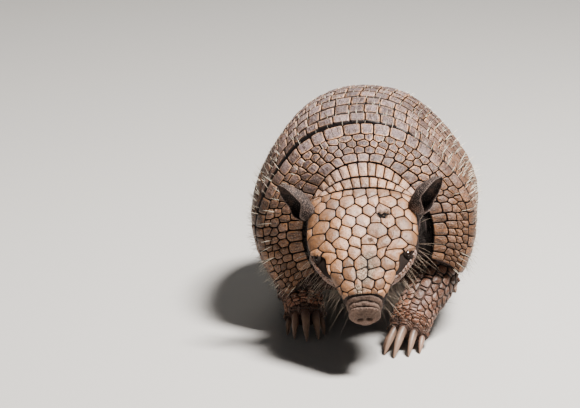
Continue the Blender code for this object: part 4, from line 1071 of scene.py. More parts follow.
class ARMADILLO_OT_bands(bpy.types.Operator):
    """Builds the movable bands, each one row of oblong scutes over a strip of skin"""
    bl_idname = "armadillo.bands"
    bl_label = "Movable bands"

    def execute(self, context):
        for index in range(BAND_COUNT):
            start = SHOULDER_LENGTH + index * BAND_PITCH
            end = start + BAND_PITCH + 0.0007

            def place(u, s, h):
                across = 2 * s - 1
                front = band_front(index, across)
                return shell(front + u * (end - front), across, h - 0.0005 * (1 - np.clip(u, 0, 1)))

            sheaf = Sheaf()
            count = round(girth(start + BAND_PITCH / 2) / BAND_SCUTE)
            grid = scute_rows((0, 1), (count,), 0.0, 0.05, seed=20 + index)
            # under and behind paint shade at each band's front, tucked under the band before, and along its
            # rear lip
            add_scutes(sheaf, grid, place, seed=20 + index, gap=0.27, lip=BAND_LIP, ridges=0.00014,
                       rounding=1, flank=low_share, under=0.30 + 0.07 * index, behind=0.08 + 0.025 * index)
            add_bed(sheaf, start - 0.0012, start + BAND_PITCH - 0.0004, on_shell, -0.0009, (5, 120))
            name = f"band_{index + 1}"
            new_piece(f"{name}_plates", sheaf.mesh(name), armour_materials(context.scene), [name])
        return {"FINISHED"}


class ARMADILLO_OT_pelvic_shield(bpy.types.Operator):
    """Builds the shield over the hips, eleven rows of scutes"""
    bl_idname = "armadillo.pelvic_shield"
    bl_label = "Pelvic shield"

    def execute(self, context):
        edges = np.linspace(PELVIS_START + BETWEEN, SHELL_LENGTH, PELVIC_ROWS + 1)
        counts = [round(girth(min(a, SHELL_LENGTH - 0.004)) / PELVIC_SCUTE)
                  for a in (edges[1:] + edges[:-1]) / 2]
        sheaf = Sheaf()
        grid = scute_rows(edges, counts, 0.05, 0.08, seed=5)
        add_scutes(sheaf, grid, on_shell, seed=5, gap=0.30, points=24, rounding=1, ridges=0.00010,
                   flank=low_share)
        add_bed(sheaf, PELVIS_START, SHELL_LENGTH - 0.0006, on_shell, -0.0008, (36, 120))
        new_piece("pelvic_plates", sheaf.mesh("pelvic_plates"), armour_materials(context.scene),
                  ["pelvic_shield"])
        return {"FINISHED"}


def on_shield(u, s, h):
    """The head shield's surface with across from 0 to 1."""
    return shield(u, 2 * s - 1, h + SHIELD_LIFT)


class ARMADILLO_OT_head_shield(bpy.types.Operator):
    """Builds the shield of the head, with its worn and chipped places"""
    bl_idname = "armadillo.head_shield"
    bl_label = "Head shield"

    def execute(self, context):
        sheaf = Sheaf()
        grid = scute_rows(SHIELD_LINES, SHIELD_ROWS, 0.22, 0.20, seed=8)
        add_scutes(sheaf, grid, on_shield, seed=8, gap=0.19, size=0.85, rounding=1, bead=1.6,
                   worn=WORN_PLACES, depth=0.0017, flank=face_share)
        add_bed(sheaf, SHIELD_LINES[0] + 0.004, 0.99, on_shield, -0.0007, (60, 50), -0.0017, (0.02, 0.98))
        new_piece("head_plates", sheaf.mesh("head_plates"), head_materials(context.scene),
                  ["head_shield"])
        return {"FINISHED"}


class ARMADILLO_OT_neck_bands(bpy.types.Operator):
    """Builds the two bands of the nape"""
    bl_idname = "armadillo.neck_bands"
    bl_label = "Neck bands"

    def execute(self, context):
        def place(u, s, h):
            return nape(u, 2 * s - 1, h)

        for number, (edges, count) in enumerate(zip(NECK_BAND_EDGES, NECK_BAND_SCUTES), 1):
            sheaf = Sheaf()
            grid = scute_rows(edges, (count,), jitter=0.08, seed=number)
            add_scutes(sheaf, grid, place, seed=number, gap=0.16, rounding=1, bead=1.4)
            add_bed(sheaf, edges[0] - 0.02, edges[1] + 0.02, place, -0.0009, (5, 50), -0.0026, (-0.01, 1.01))
            new_piece(f"nape_plates_{number}", sheaf.mesh("nape_plates"), head_materials(context.scene),
                      [f"neck_band_{number}"])
        return {"FINISHED"}


def loft(sheaf, rings, **values):
    """Adds a closed tube through rings of points, with a fan over each end."""
    rings = np.asarray(rings, float)
    steps, sides, _ = rings.shape
    ids = np.arange(steps * sides).reshape(steps, sides)
    over = np.roll(ids, -1, axis=1)
    quads = np.stack([ids[:-1], over[:-1], over[1:], ids[1:]], -1).reshape(-1, 4)
    first, last = steps * sides, steps * sides + 1
    start = np.stack([over[0], ids[0], np.full(sides, first)], -1)
    end = np.stack([ids[-1], over[-1], np.full(sides, last)], -1)
    points = np.concatenate([rings.reshape(-1, 3), rings[:1].mean(axis=1), rings[-1:].mean(axis=1)])
    middle = rings.mean(axis=1, keepdims=True)
    normal = np.cross(np.roll(rings, -1, axis=1) - rings, np.gradient(rings, axis=0))
    faces = [quads, start, end]
    if np.sum(normal * (rings - middle)) < 0:
        faces = [f[:, ::-1] for f in faces]
    keep = {key: np.concatenate([np.asarray(v, float).ravel(), [0.0, 0.0]]) for key, v in values.items()}
    sheaf.add(points, faces, **keep)


def tube_rings(points, radii, sides):
    """Rings of points along a line, each with its half width and half depth."""
    ways = unit(np.gradient(points, axis=0))
    side = unit(np.cross(ways, (0, 0, 1)))
    up = np.cross(side, ways)
    turns = np.linspace(0, 2 * math.pi, sides, endpoint=False)[None, :, None]
    return (points[:, None] + side[:, None] * radii[:, :1, None] * np.cos(turns)
            + up[:, None] * radii[:, 1:, None] * np.sin(turns))


def limb_path(rows, at):
    """The centre line of a limb and its sizes, at shares of its length."""
    made = along_rows([(*place, *sizes) for place, *sizes in rows], at)
    return made[..., :3], made[..., 3:]


def limb_skin(rows, at, turn, lift=0.0):
    """Points round a limb: turn is 0 on its outer side and a quarter circle on its front."""
    at, turn = alike(at, turn)
    outward = np.sign(rows[2][0][0])

    def face(u, a):
        point, size = limb_path(rows, u)
        size = size * np.sqrt(1 - 0.72 * np.clip((u - 0.88) / 0.12, 0, 1)[..., None] ** 2)
        way = unit(limb_path(rows, u + 0.03)[0] - limb_path(rows, u - 0.03)[0])
        side = square_to(way, np.array([outward, 0.0, 0.0]))
        front = np.cross(way, side) * outward
        return (point + side * size[..., :1] * np.cos(a)[..., None]
                + front * size[..., 1:] * np.sin(a)[..., None])

    point = face(at, turn)
    return lifted(point, facing(normal_of(face, at, turn, 1e-3), point - limb_path(rows, at)[0]), lift)


def toe_places(rows, toes):
    """Where each toe ends: its root, place, heading, claw length and claw radius."""
    points = limb_path(rows, np.linspace(0, 1, 10))[0]
    heading = points[-1] - points[-3]
    heading = unit(np.array([heading[0], heading[1], 0.0]))
    across = square_to(heading, np.array([np.sign(points[2][0]), 0.0, 0.0]))
    made = []
    for spread, length, height, claw, radius in toes:
        way = unit(heading + across * spread * 14)
        root = np.array([points[-1][0], points[-1][1], height]) + across * spread - heading * 0.004
        made.append((root, root + way * (length + 0.004), way, claw, radius))
    return made


def line_with_way(rows, at, nudge):
    """Places and radii along a line, and the ways it runs there."""
    way = unit((along_rows(rows, at + nudge) - along_rows(rows, at - nudge))[..., :3])
    return along_rows(rows, at), way


def round_line(made, side, up, turn, lift):
    """Points round a line of places and radii, turned from its side towards up."""
    out = side * np.cos(turn)[..., None] + up * np.sin(turn)[..., None]
    return lifted(made[..., :3], out, made[..., 3] + lift)


def toe_skin(toe, at, turn, lift=0.0):
    """Points round a toe and the cuticle of its claw: turn is a quarter circle on its top."""
    root, end, way, claw, radius = toe
    start = end - way * CLAW_ROOT
    line = np.vstack([root - way * 0.007, root, (root + start) / 2,
                      claw_line(start, way, claw + CLAW_ROOT, np.array([0.02, 0.10, 0.18, 0.26]))])
    sizes = [0.0050, 0.0056, 0.0054, radius + 0.0026, radius + 0.0024, radius + 0.0015, radius + 0.0001]
    rows = np.column_stack([line, sizes])
    at, turn = alike(at, turn)
    made, along = line_with_way(rows, at, 0.02)
    side = unit(np.cross(along, [0, 0, 1.0]))
    return round_line(made, side, np.cross(side, along), turn, lift)


def tail_skin(at, turn, lift=0.0):
    """Points round the tail."""
    rows = [(*place, radius) for place, radius in TAIL]
    at, turn = alike(at, turn)
    made, way = line_with_way(rows, at, 0.01)
    across = square_to(way, np.array([1.0, 0.0, 0.0]))
    return round_line(made, across, np.cross(across, way), turn, lift)


def trunk_ring(along, count):
    """A ring round the trunk: the underside of the armour, and the belly below its edges."""
    over = np.linspace(0, 1, 41)
    left = shell(np.full(41, along), over, -UNDER_PLATES)
    right = shell(np.full(41, along), -over[::-1], -UNDER_PLATES)
    sag = np.array([0, smooth_through(CHEST_LEAN, along), -smooth_through(BELLY_DROP, along)])
    round_under = np.linspace(0, math.pi, 32)[1:-1]
    middle, half = (left[-1] + right[0]) / 2, (left[-1] - right[0]) / 2
    under = middle + half * np.cos(round_under)[:, None] + sag * np.sin(round_under)[:, None]
    return evenly(np.vstack([left, under, right[:-1]]), count)


def neck_ring(share, count=120):
    """A ring of the neck, from the back of the head at 0 to the front of the trunk at 1."""
    angles = np.linspace(0, 2 * math.pi, 240, endpoint=False)
    front = evenly(from_head(head_section(np.full(240, HEAD_LENGTH), angles)), count)
    ring = front + (trunk_ring(0.003, count) - front) * share
    middle = ring.mean(axis=0)
    return middle + (ring - middle) * (0.965 - 0.055 * math.sin(math.pi * min(max(share, 0), 1)))


def flesh():
    """All the flesh as closed tubes that run into each other."""
    sheaf = Sheaf()
    angles = np.linspace(0, 2 * math.pi, 120, endpoint=False)
    rings = [from_head(head_section(np.full(120, a), angles)) for a in np.linspace(0.005, 0.130, 100)]
    nose = rings[0].mean(axis=0)
    ahead = unit(from_head(np.array([0, 0, 0])) - from_head(np.array([0, 1.0, 0])))
    cap = [nose + (rings[0] - nose) * size + ahead * forward
           for size, forward in ((0.15, 0.0022), (0.60, 0.0020), (0.85, 0.0014), (0.96, 0.0006))]
    loft(sheaf, cap + rings)
    loft(sheaf, [neck_ring(share) for share in (-0.25, 0, 0.25, 0.5, 0.75, 1.0, 1.2)])
    along = np.concatenate([[0.003], np.linspace(0.018, 0.292, 48)])
    rings = [trunk_ring(a, 160) for a in along]
    last = rings[-1]
    rings += [last.mean(axis=0) + (last - last.mean(axis=0)) * size + np.array([0, back, 0])
              for back, size in ((0.002, 0.90), (0.0035, 0.70), (0.0045, 0.4))]
    loft(sheaf, rings)
    at, turns = np.meshgrid(np.linspace(0, 1, 70), angles[::2], indexing="ij")
    for rows, toes in LIMBS.values():
        loft(sheaf, limb_skin(rows, at, turns))
        for toe in toe_places(rows, toes):
            loft(sheaf, toe_skin(toe, np.linspace(0, 1, 24)[:, None], angles[None, ::5]))
    loft(sheaf, tail_skin(at, turns, np.full(at.shape, -0.0004)))
    return sheaf.mesh("flesh")


def made_whole(mesh, voxel):
    """One closed skin over the whole of a mesh."""
    holder = linked("holder", mesh)
    remesh = holder.modifiers.new("remesh", "REMESH")
    remesh.mode, remesh.voxel_size = "VOXEL", voxel
    soften = holder.modifiers.new("soften", "SMOOTH")
    soften.factor, soften.iterations = 0.5, 5
    whole = bpy.data.meshes.new_from_object(holder.evaluated_get(bpy.context.evaluated_depsgraph_get()))
    bpy.data.objects.remove(holder)
    return whole


def refine(mesh, chosen):
    """Splits the faces whose middles are chosen, with their neighbours kept joined."""
    bm = bmesh.new()
    bm.from_mesh(mesh)
    bm.faces.ensure_lookup_table()
    middles = np.array([f.calc_center_median() for f in bm.faces]) - SHIFT
    picked = chosen(middles)
    edges = {e for f, p in zip(bm.faces, picked) if p for e in f.edges}
    bmesh.ops.subdivide_edges(bm, edges=list(edges), cuts=1, use_grid_fill=True)
    bmesh.ops.triangulate(bm, faces=[f for f in bm.faces if len(f.verts) > 4])
    bm.to_mesh(mesh)
    bm.free()
    mesh.update()


def read_points(mesh):
    """The points of a mesh in the design's coordinates, and their normals."""
    points, normals = np.empty((2, len(mesh.vertices) * 3), np.float32)
    mesh.vertices.foreach_get("co", points)
    mesh.vertices.foreach_get("normal", normals)
    return points.reshape(-1, 3).astype(float) - SHIFT, normals.reshape(-1, 3).astype(float)


def write_points(mesh, points):
    """Moves the points of a mesh, given in the design's coordinates."""
    mesh.vertices.foreach_set("co", (points + SHIFT).astype(np.float32).ravel())
    mesh.update()


def bell(distance, width):
    """A smooth hump of height 1 round a distance of 0."""
    return np.exp(-((distance / width) ** 2))


def line_distance(points, line):
    """How far points are from a line through places."""
    nearest = np.full(len(points), 1e9)
    for a, b in zip(line, line[1:]):
        way = b - a
        share = np.clip((points - a) @ way / (way @ way), 0, 1)
        nearest = np.minimum(nearest, np.linalg.norm(points - a - share[:, None] * way, axis=1))
    return nearest


def mouth_line():
    """The line of the mouth in the head's frame, from one corner round under the nose."""
    shares = np.linspace(-1, 1, 41)
    along = 0.0085 + 0.040 * np.abs(shares) ** 1.4
    angle = np.pi - np.sign(shares) * np.radians(58) * np.abs(shares) ** 0.6
    return head_section(along, angle)


def shape_nose(points, normals, crease):
    """Folds of the snout, the nose disc and the nostrils. Returns how deep in a nostril each point is."""
    local = to_head(points)
    inside = np.zeros(len(points))
    near = np.where((local[:, 1] < 0.030) & (np.abs(local[:, 0]) < 0.03))[0]
    x, y, z = local[near].T
    out = normals[near] @ HEAD_TURN
    station = np.maximum(y, 0.005)
    wide, (top, level, under) = smooth_through(HEAD_HALF_WIDTH, station), head_levels(station)
    tall = np.where(z > level, top - level, level - under)
    power = np.where(z > level, HEAD_ROUNDNESS, 2.0)
    share = (np.abs(x / wide) ** power + np.abs((z - level) / tall) ** power) ** (1 / power)
    upper = smooth_step((z + 0.030) / 0.010)
    place = y + 0.0007 * lumps(local[near], 0.006, 4) + 5.0 * x * x * (y > 0.009)
    height = np.zeros(len(near))
    for middle, rise, width in SNOUT_FOLDS:
        height += rise * bell(place - middle, width) * (0.35 + 0.65 * upper)
    height += 0.00032 * lumps(local[near], 0.0015, 5) + 0.0003 * lumps(local[near] * (1, 0.2, 1), 0.0008, 8)
    radial = np.stack([x, 0 * x, z - level], -1)
    whole = radial * (1 / np.maximum(share, 0.3))[:, None]
    onto = whole * (1 + height / np.maximum(np.linalg.norm(whole, axis=1), 1e-4))[:, None]
    sides = smooth_step((out[:, 1] + 0.80) / 0.45) * smooth_step((0.030 - y) / 0.006) * (share > 0.7)
    moved = local[near] + (onto - radial) * sides[:, None]
    disc = smooth_step((-0.35 - out[:, 1]) / 0.4) * (y < 0.0085)
    turn = np.arctan2(z + 0.0190, x)
    ahead = 0.0030 + 0.0030 * np.clip(share, 0, 1.1) ** 3.2 + 0.0008 * bell(share - 0.76, 0.10)
    ripple = np.sin(turn * 23 + 3 * lumps(local[near], 0.004, 9))
    ahead -= 0.00028 * ripple * smooth_step((share - 0.45) / 0.2)
    moved[:, 1] += disc * (ahead - y)
    for side in (-1, 1):
        a, b = x - side * 0.0038, z + 0.0176
        a, b = a * math.cos(0.5) - side * b * math.sin(0.5), b * math.cos(0.5) + side * a * math.sin(0.5)
        hole = np.hypot(a / 0.0027, b / 0.0018)
        moved[:, 1] += disc * (0.0036 * smooth_step((1.30 - hole) / 0.5) - 0.0007 * bell(hole - 1.6, 0.35))
        inside[near] = np.maximum(inside[near], disc * smooth_step((1.25 - hole) / 0.3))
    points[near] = from_head(moved)
    crease[near] = np.clip(-height / 0.0006, 0, 1) * smooth_step((0.030 - y) / 0.006) * sides
    return inside


def shape_mouth(points, normals, crease):
    """The groove of the mouth between two low lips."""
    local = to_head(points)
    near = np.where((local[:, 1] < 0.062) & (local[:, 2] < -0.012) & (np.abs(local[:, 0]) < 0.05))[0]
    far = line_distance(local[near], mouth_line())
    height = -0.0013 * bell(far, 0.0008) + 0.0006 * bell(far - 0.0024, 0.0013)
    height += 0.00025 * lumps(local[near], 0.0022, 6) * bell(far, 0.006)
    points[near] += normals[near] * height[:, None]
    crease[near] = np.maximum(crease[near], bell(far, 0.0009))


def shape_lids(points):
    """Wrinkled lids drawn over each eyeball, with an almond-shaped opening."""
    for side in (-1, 1):
        centre, out = eye_place(side)
        out = HEAD_TURN @ np.array(out)
        along = square_to(out, HEAD_TURN[:, 1])
        up = np.cross(out, along) * side
        away = points - np.array(HEAD @ centre)
        near = np.where(np.linalg.norm(away, axis=1) < 0.013)[0]
        away = away[near]
        a, b, c = away @ along, away @ up, away @ out
        flat = np.hypot(a, b)
        tall = 0.00205 * np.sqrt(np.clip(1 - (a / 0.0042) ** 2, 0.05, 1))
        gap = np.hypot(a / 0.0033, (b - 0.0001) / tall)
        lid = smooth_step((gap - 0.92) / 0.22)
        reach = EYE_RADIUS + 0.0006 + lid * (0.0004 + 0.0005 * bell(gap - 1.35, 0.28)) - (1 - lid) * 0.0016
        wrinkle = np.cos((flat - 0.0030) * 2 * math.pi / 0.0014 + 2 * lumps(away, 0.004, 11))
        reach = reach + 0.00022 * wrinkle * smooth_step((gap - 1.3) / 0.4)
        dome = np.sqrt(np.clip(reach**2 - flat**2, 0, None))
        share = smooth_step((0.0082 - flat) / 0.0046)
        target = np.maximum(np.where(flat < reach, dome, 0), 0.0006 + 0.0003 * wrinkle)
        target = np.where(gap < 1.0, np.minimum(target, dome), target)
        rise = (target - c) * share * (c > -0.004)
        points[near] += out * rise[:, None]


def shape_folds(points, normals):
    """Creases across the neck, the belly, the joints and the feet."""
    local = to_head(points)
    on_head = smooth_step((0.098 - local[:, 1]) / 0.02)
    neck = smooth_step((-0.050 - points[:, 1]) / 0.025) * (points[:, 2] > 0.03)
    low = smooth_step((0.075 - points[:, 2]) / 0.02) * (np.abs(points[:, 0]) > 0.025)
    stretched = points * np.where(low[:, None] > 0.5, (0.35, 0.8, 1.0), (0.22, 1.0, 0.22))
    ridge = 1 - np.abs(lumps(stretched, 0.0040, 21)) * 1.6
    ridge = np.where(neck > 0.5, np.maximum(ridge, 1 - np.abs(lumps(stretched, 0.0022, 25)) * 1.9), ridge)
    fold = np.clip(ridge, 0, 1) ** 3
    depth = 0.0024 * neck * (1 - on_head) + 0.0006 * low + 0.0004
    depth = depth * (1 - 0.75 * on_head)
    height = -depth * fold + 0.00035 * lumps(points, 0.0055, 22) * (1 - 0.6 * on_head)
    points += normals * height[:, None]
    return np.clip(fold * depth / 0.0010, 0, 1)


class ARMADILLO_OT_skin(bpy.types.Operator):
    """Builds the one skin of head, neck, trunk, legs and tail"""
    bl_idname = "armadillo.skin"
    bl_label = "Skin"

    def execute(self, context):
        skin = context.scene.armadillo_skin
        whole = made_whole(flesh(), skin.voxel)
        feet = [limb_path(rows, np.array([0.97]))[0][0] for rows, _ in LIMBS.values()]

        def open_skin(points):
            local = to_head(points)
            head = (local[:, 1] < 0.135) & (local[:, 2] < 0.002 - 0.12 * np.clip(local[:, 1] - 0.03, 0, 1))
            neck = (points[:, 1] < -0.070) & (points[:, 2] > 0.05)
            paws = np.any([np.linalg.norm((points - foot) * (1, 1, 0.8), axis=1) < 0.030 for foot in feet],
                          axis=0)
            return head | neck | paws

        def snout(points):
            local = to_head(points)
            return (local[:, 1] < 0.026) | (eye_distance(points) < 0.011)

        refine(whole, open_skin)
        refine(whole, snout)
        points, normals = read_points(whole)
        crease = shape_folds(points, normals)
        write_points(whole, points)
        points, normals = read_points(whole)
        nostril = shape_nose(points, normals, crease)
        shape_mouth(points, normals, crease)
        shape_lids(points)
        points[:, 2] = np.maximum(points[:, 2], 0.0002)
        write_points(whole, points)
        points, normals = read_points(whole)
        local = to_head(points)
        nose = smooth_step((0.0200 - local[:, 1]) / 0.006)
        low = smooth_step((0.060 - points[:, 2]) / 0.02) * (np.abs(points[:, 0]) > 0.02)
        # Where the neck's fold ridges take a painted highlight
        neck = smooth_step((local[:, 1] - 0.085) / 0.02) * smooth_step((-0.050 - points[:, 1]) / 0.02)
        # Where the skin round the eyes takes its painted shade
        lid = smooth_step((EYE_SHADE_REACH - eye_distance(points)) / EYE_SHADE_FADE)
        for key, values in (("nose", nose), ("low", low), ("nostril", nostril), ("crease", crease),
                            ("neck", neck), ("lid", lid)):
            keep_value(whole, key, values)
        whole.name = "skin"
        whole.materials.clear()
        whole.shade_smooth()
        nodes = ["head", "neck", "trunk", "tail"] + list(LIMBS)
        new_piece("skin", whole, [skin_material(context.scene)], nodes)
        return {"FINISHED"}


def skin_material(scene):
    """Bare skin, brown on the snout and warmer on the legs, with painted shade round the eyes, in the folds
    and in the nostrils, and a painted highlight on the ridges of the neck's folds.
    """
    skin = scene.armadillo_skin
    made, tree, shader = new_material("bare_skin")
    nose, low, lid, neck, crease, nostril = (
        value_of(tree, key) for key in ("nose", "low", "lid", "neck", "crease", "nostril"))
    base = blend(tree, nose, skin.hide, skin.snout)
    base = blend(tree, times(tree, low, 0.45), base, LEG_SKIN)
    # Painted shade in the notch round each eye
    base = blend(tree, times(tree, lid, 0.90), base, EYE_NOTCH_SHADE)
    mottle = times(tree, ramp(tree, noise(tree, 420, 4.0, 8.0), 0.44, 0.62), 0.55)
    base = blend(tree, mottle, base, blend(tree, nose, skin.crease, SNOUT_MOTTLE))
    # Painted highlight on the ridges between the neck's creases
    ridge = times(tree, neck, minus(tree, 1.0, times(tree, crease, 3.0), True))
    base = blend(tree, times(tree, ridge, 0.65), base, NECK_RIDGE_HIGHLIGHT)
    hide = group_node(tree, "Bare hide", hide_group, Crease=skin.crease, Size=900.0)
    tree.links.new(base, hide.inputs["Skin"])
    tree.links.new(minus(tree, 0.50, times(tree, nose, 0.38)), hide.inputs["Net"])
    # Painted shade in the depths of the folds of the neck, the snout and the mouth
    colour = blend(tree, times(tree, crease, 0.92), hide.outputs["Colour"], skin.crease)
    # Painted shade inside the nostrils
    colour = blend(tree, nostril, colour, NOSTRIL_SHADE)
    finish_with(tree, shader, colour, hide.outputs["Roughness"], hide.outputs["Height"], 0.55, 0.0004, 0.14)
    return made


class ARMADILLO_OT_eyes(bpy.types.Operator):
    """Builds the small, dark, wet eyes"""
    bl_idname = "armadillo.eyes"
    bl_label = "Eyes"

    def execute(self, context):
        made, tree, shader = new_material("wet_eye")
        cloud = noise(tree, 900, 2.0)
        tree.links.new(blend(tree, cloud, context.scene.armadillo_skin.eye, EYE_BROWN),
                       shader.inputs["Base Color"])
        shader.inputs["Roughness"].default_value = 0.06
        shader.inputs["Coat Weight"].default_value = 1.0
        shader.inputs["Coat Roughness"].default_value = 0.02
        for name, side in (("left", 1), ("right", -1)):
            centre, _ = eye_place(side)
            bm = bmesh.new()
            bmesh.ops.create_uvsphere(bm, u_segments=48, v_segments=32, radius=EYE_RADIUS - 0.00005)
            mesh = bpy.data.meshes.new("eyeball")
            bm.to_mesh(mesh)
            bm.free()
            mesh.transform(Matrix.Translation(HEAD @ centre + Vector(SHIFT)))
            mesh.shade_smooth()
            new_piece(f"eyeball_{name}", mesh, [made], [f"eye_{name}"])
        return {"FINISHED"}


def ear_face(side, share, turn, inset=0.0):
    """A point of an ear: share of its length, angle round its cup, and depth into its wall."""
    share, turn = alike(share, turn)
    axis, opening = unit(EAR_AXIS), unit(EAR_OPENING)
    across = np.cross(axis, opening)
    half = smooth_through(EAR_HALF_WIDTH, share) - inset
    point = (np.array(EAR_BASE) + axis * EAR_LENGTH * share[..., None]
             + across * (half * np.sin(turn))[..., None] - opening * (half * 0.85 * np.cos(turn))[..., None])
    return from_head(point * np.array([side, 1, 1]))


class ARMADILLO_OT_ears(bpy.types.Operator):
    """Builds the thin, pebbled cups of the ears"""
    bl_idname = "armadillo.ears"
    bl_label = "Ears"

    def execute(self, context):
        material = ear_material(context.scene)
        for name, side in (("left", 1), ("right", -1)):
            sheaf = Sheaf()
            shares = np.concatenate([np.linspace(0.02, 0.9, 64), np.linspace(0.915, 1.0, 9)])[:, None]
            turns = np.linspace(-1, 1, 61)[None]
            reach = math.pi * (0.93 - 0.36 * smooth_step((shares - 0.10) / 0.35)) * (1 - 0.25 * shares**4)
            row = shares * EAR_LENGTH / EAR_PEBBLE
            column = turns * reach * smooth_through(EAR_HALF_WIDTH, shares) / EAR_PEBBLE
            staggered = column + 0.5 * (np.floor(row) % 2)
            bumps = np.abs(np.sin(math.pi * row) * np.sin(math.pi * staggered)) ** 0.7
            rim = smooth_step((np.abs(turns) - 0.90) / 0.10) + 0 * shares
            uneven = lumps(ear_face(side, shares, turns * reach), 0.004, 31)
            outer = ear_face(side, shares, turns * reach, -0.00055 * bumps * (1 - rim) - 0.0003 * uneven)
            wall = 0.0013 * (1 - 0.40 * shares) + 0.0008 * (shares < 0.08)
            grain = np.abs(np.sin(math.pi * row * 0.8) * np.sin(math.pi * column * 1.1)) ** 0.8
            inner = ear_face(side, shares, turns[:, ::-1] * reach * 0.975,
                             wall - 0.00026 * grain - 0.0003 * lumps(outer, 0.006, 32))
            both = np.concatenate([outer, inner], axis=1)
            inside = np.concatenate([0 * bumps, 1 + 0 * grain], axis=1)
            bump = np.concatenate([bumps, grain], axis=1)
            loft(sheaf, both, inside=inside, bump=bump, rim=np.concatenate([rim, rim[:, ::-1]], axis=1))
            new_piece(f"ear_cup_{name}", sheaf.mesh("ear"), [material], [f"ear_{name}"])
        return {"FINISHED"}


def ear_material(scene):
    """Grey pebbled skin, paler on the bumps and the rim, and darker in the cup, as dark skin and in part
    painted shade.
    """
    skin = scene.armadillo_skin
    made, tree, shader = new_material("ear_skin")
    inside, bump, rim = (value_of(tree, key) for key in ("inside", "bump", "rim"))
    fine = noise(tree, 1300)
    cells = node(tree, "ShaderNodeTexVoronoi", {"Vector": object_place(tree),
                                                "Scale": 720.0}).outputs["Distance"]
    pebble = minus(tree, 1.0, ramp(tree, cells, 0.16, 0.46))
    raised = maths(tree, "MAXIMUM", times(tree, ramp(tree, bump, 0.60, 1.0), 0.60),
                   times(tree, pebble, 0.62))
    colour = blend(tree, plus(tree, raised, times(tree, rim, 0.35), True), skin.ear, skin.ear_rim)
    # Dark skin and in part painted shade inside the cup
    dark = times(tree, inside, minus(tree, 0.95, times(tree, pebble, 0.45)))
    colour = blend(tree, dark, colour, EAR_CUP_SKIN_AND_SHADE)
    colour = blend(tree, times(tree, ramp(tree, noise(tree, 120), 0.45, 0.7), 0.3), colour, EAR_WARM)
    rough = plus(tree, 0.55, times(tree, fine, 0.3))
    finish_with(tree, shader, colour, rough, plus(tree, pebble, times(tree, fine, 0.4)), 0.6, 0.0005, 0.25)
    return made


def claw_line(start, way, length, shares):
    """The centre line of a claw: forward and down in an arch to just above the floor."""
    drop = start[2] - CLAW_LIFT
    reach = math.sqrt(length**2 - drop**2)
    rise = np.array([0, 0, 1.0])
    s = shares[:, None]
    return start + way * reach * s - rise * (drop * s - CLAW_ARCH * length * 4 * s * (1 - s))


class ARMADILLO_OT_claws(bpy.types.Operator):
    """Builds the thick, blunt claws with their growth rings"""
    bl_idname = "armadillo.claws"
    bl_label = "Claws"

    def execute(self, context):
        material = claw_material(context.scene)
        draw = np.random.default_rng(12)
        for limb, (rows, toes) in LIMBS.items():
            for number, (_, end, way, length, radius) in enumerate(toe_places(rows, toes), 1):
                shares = np.concatenate([np.linspace(0, 0.93, 40), np.linspace(0.945, 1, 8)])
                points = claw_line(end - way * CLAW_ROOT, way, length + CLAW_ROOT, shares)
                size = radius * np.maximum(1 - shares**2.9, 0) ** 0.78 + 0.00040
                size = size * (1 + 0.012 * np.sin(shares * 60 + draw.uniform(0, 6))
                               + 0.010 * np.sin(shares * 23))
                rings = tube_rings(points, np.stack([CLAW_SQUASH * size, size], -1), 32)
                middle = rings.mean(axis=1, keepdims=True)
                turn = np.linspace(0, 2 * math.pi, 32, endpoint=False)[None, :, None]
                groove = 1 - 0.16 * np.exp(-((turn - 1.5 * math.pi) / 0.5) ** 2) + 0.012 * np.cos(turn * 9)
                rings = middle + (rings - middle) * groove
                sheaf = Sheaf()
                along = np.broadcast_to(shares[:, None], rings.shape[:2])
                loft(sheaf, rings, along=along, tint=np.full(rings.shape[:2], draw.random()))
                new_piece(f"{limb}_horn_{number}", sheaf.mesh("claw"), [material],
                          [f"{limb}_claw_{number}"])
        return {"FINISHED"}


def claw_material(scene):
    """Horn, brown at the root and paler to the tip, with fine streaks along it."""
    skin = scene.armadillo_skin
    made, tree, shader = new_material("claw_horn")
    along, tint = value_of(tree, "along"), value_of(tree, "tint")
    cloud, fine = noise(tree, 170, 4.0), noise(tree, 1100, 4.0)
    place = plus(tree, along, times(tree, minus(tree, cloud, 0.5), 0.5))
    colour = blend(tree, ramp(tree, place, 0.18, 0.62), skin.claw_root, skin.claw)
    colour = blend(tree, times(tree, ramp(tree, fine, 0.5, 0.75), 0.60), colour, CLAW_STREAK)
    colour = blend(tree, times(tree, tint, 0.35), colour, CLAW_PINK)
    finish_with(tree, shader, colour, plus(tree, 0.30, times(tree, fine, 0.3)), fine, 0.35, 0.0003)
    return made


def scale_material(scene):
    """The orange horn of the scales of legs and tail, darkened as painted shade high on the legs, and
    browner on the toes.
    """
    skin = scene.armadillo_skin
    return horn_material(scene, "scale_horn", skin.scale, skin.scale_rim, SCALE_SHADE_AND_TOE_BROWN, 0.10, 0.6,
                         specular=0.32)


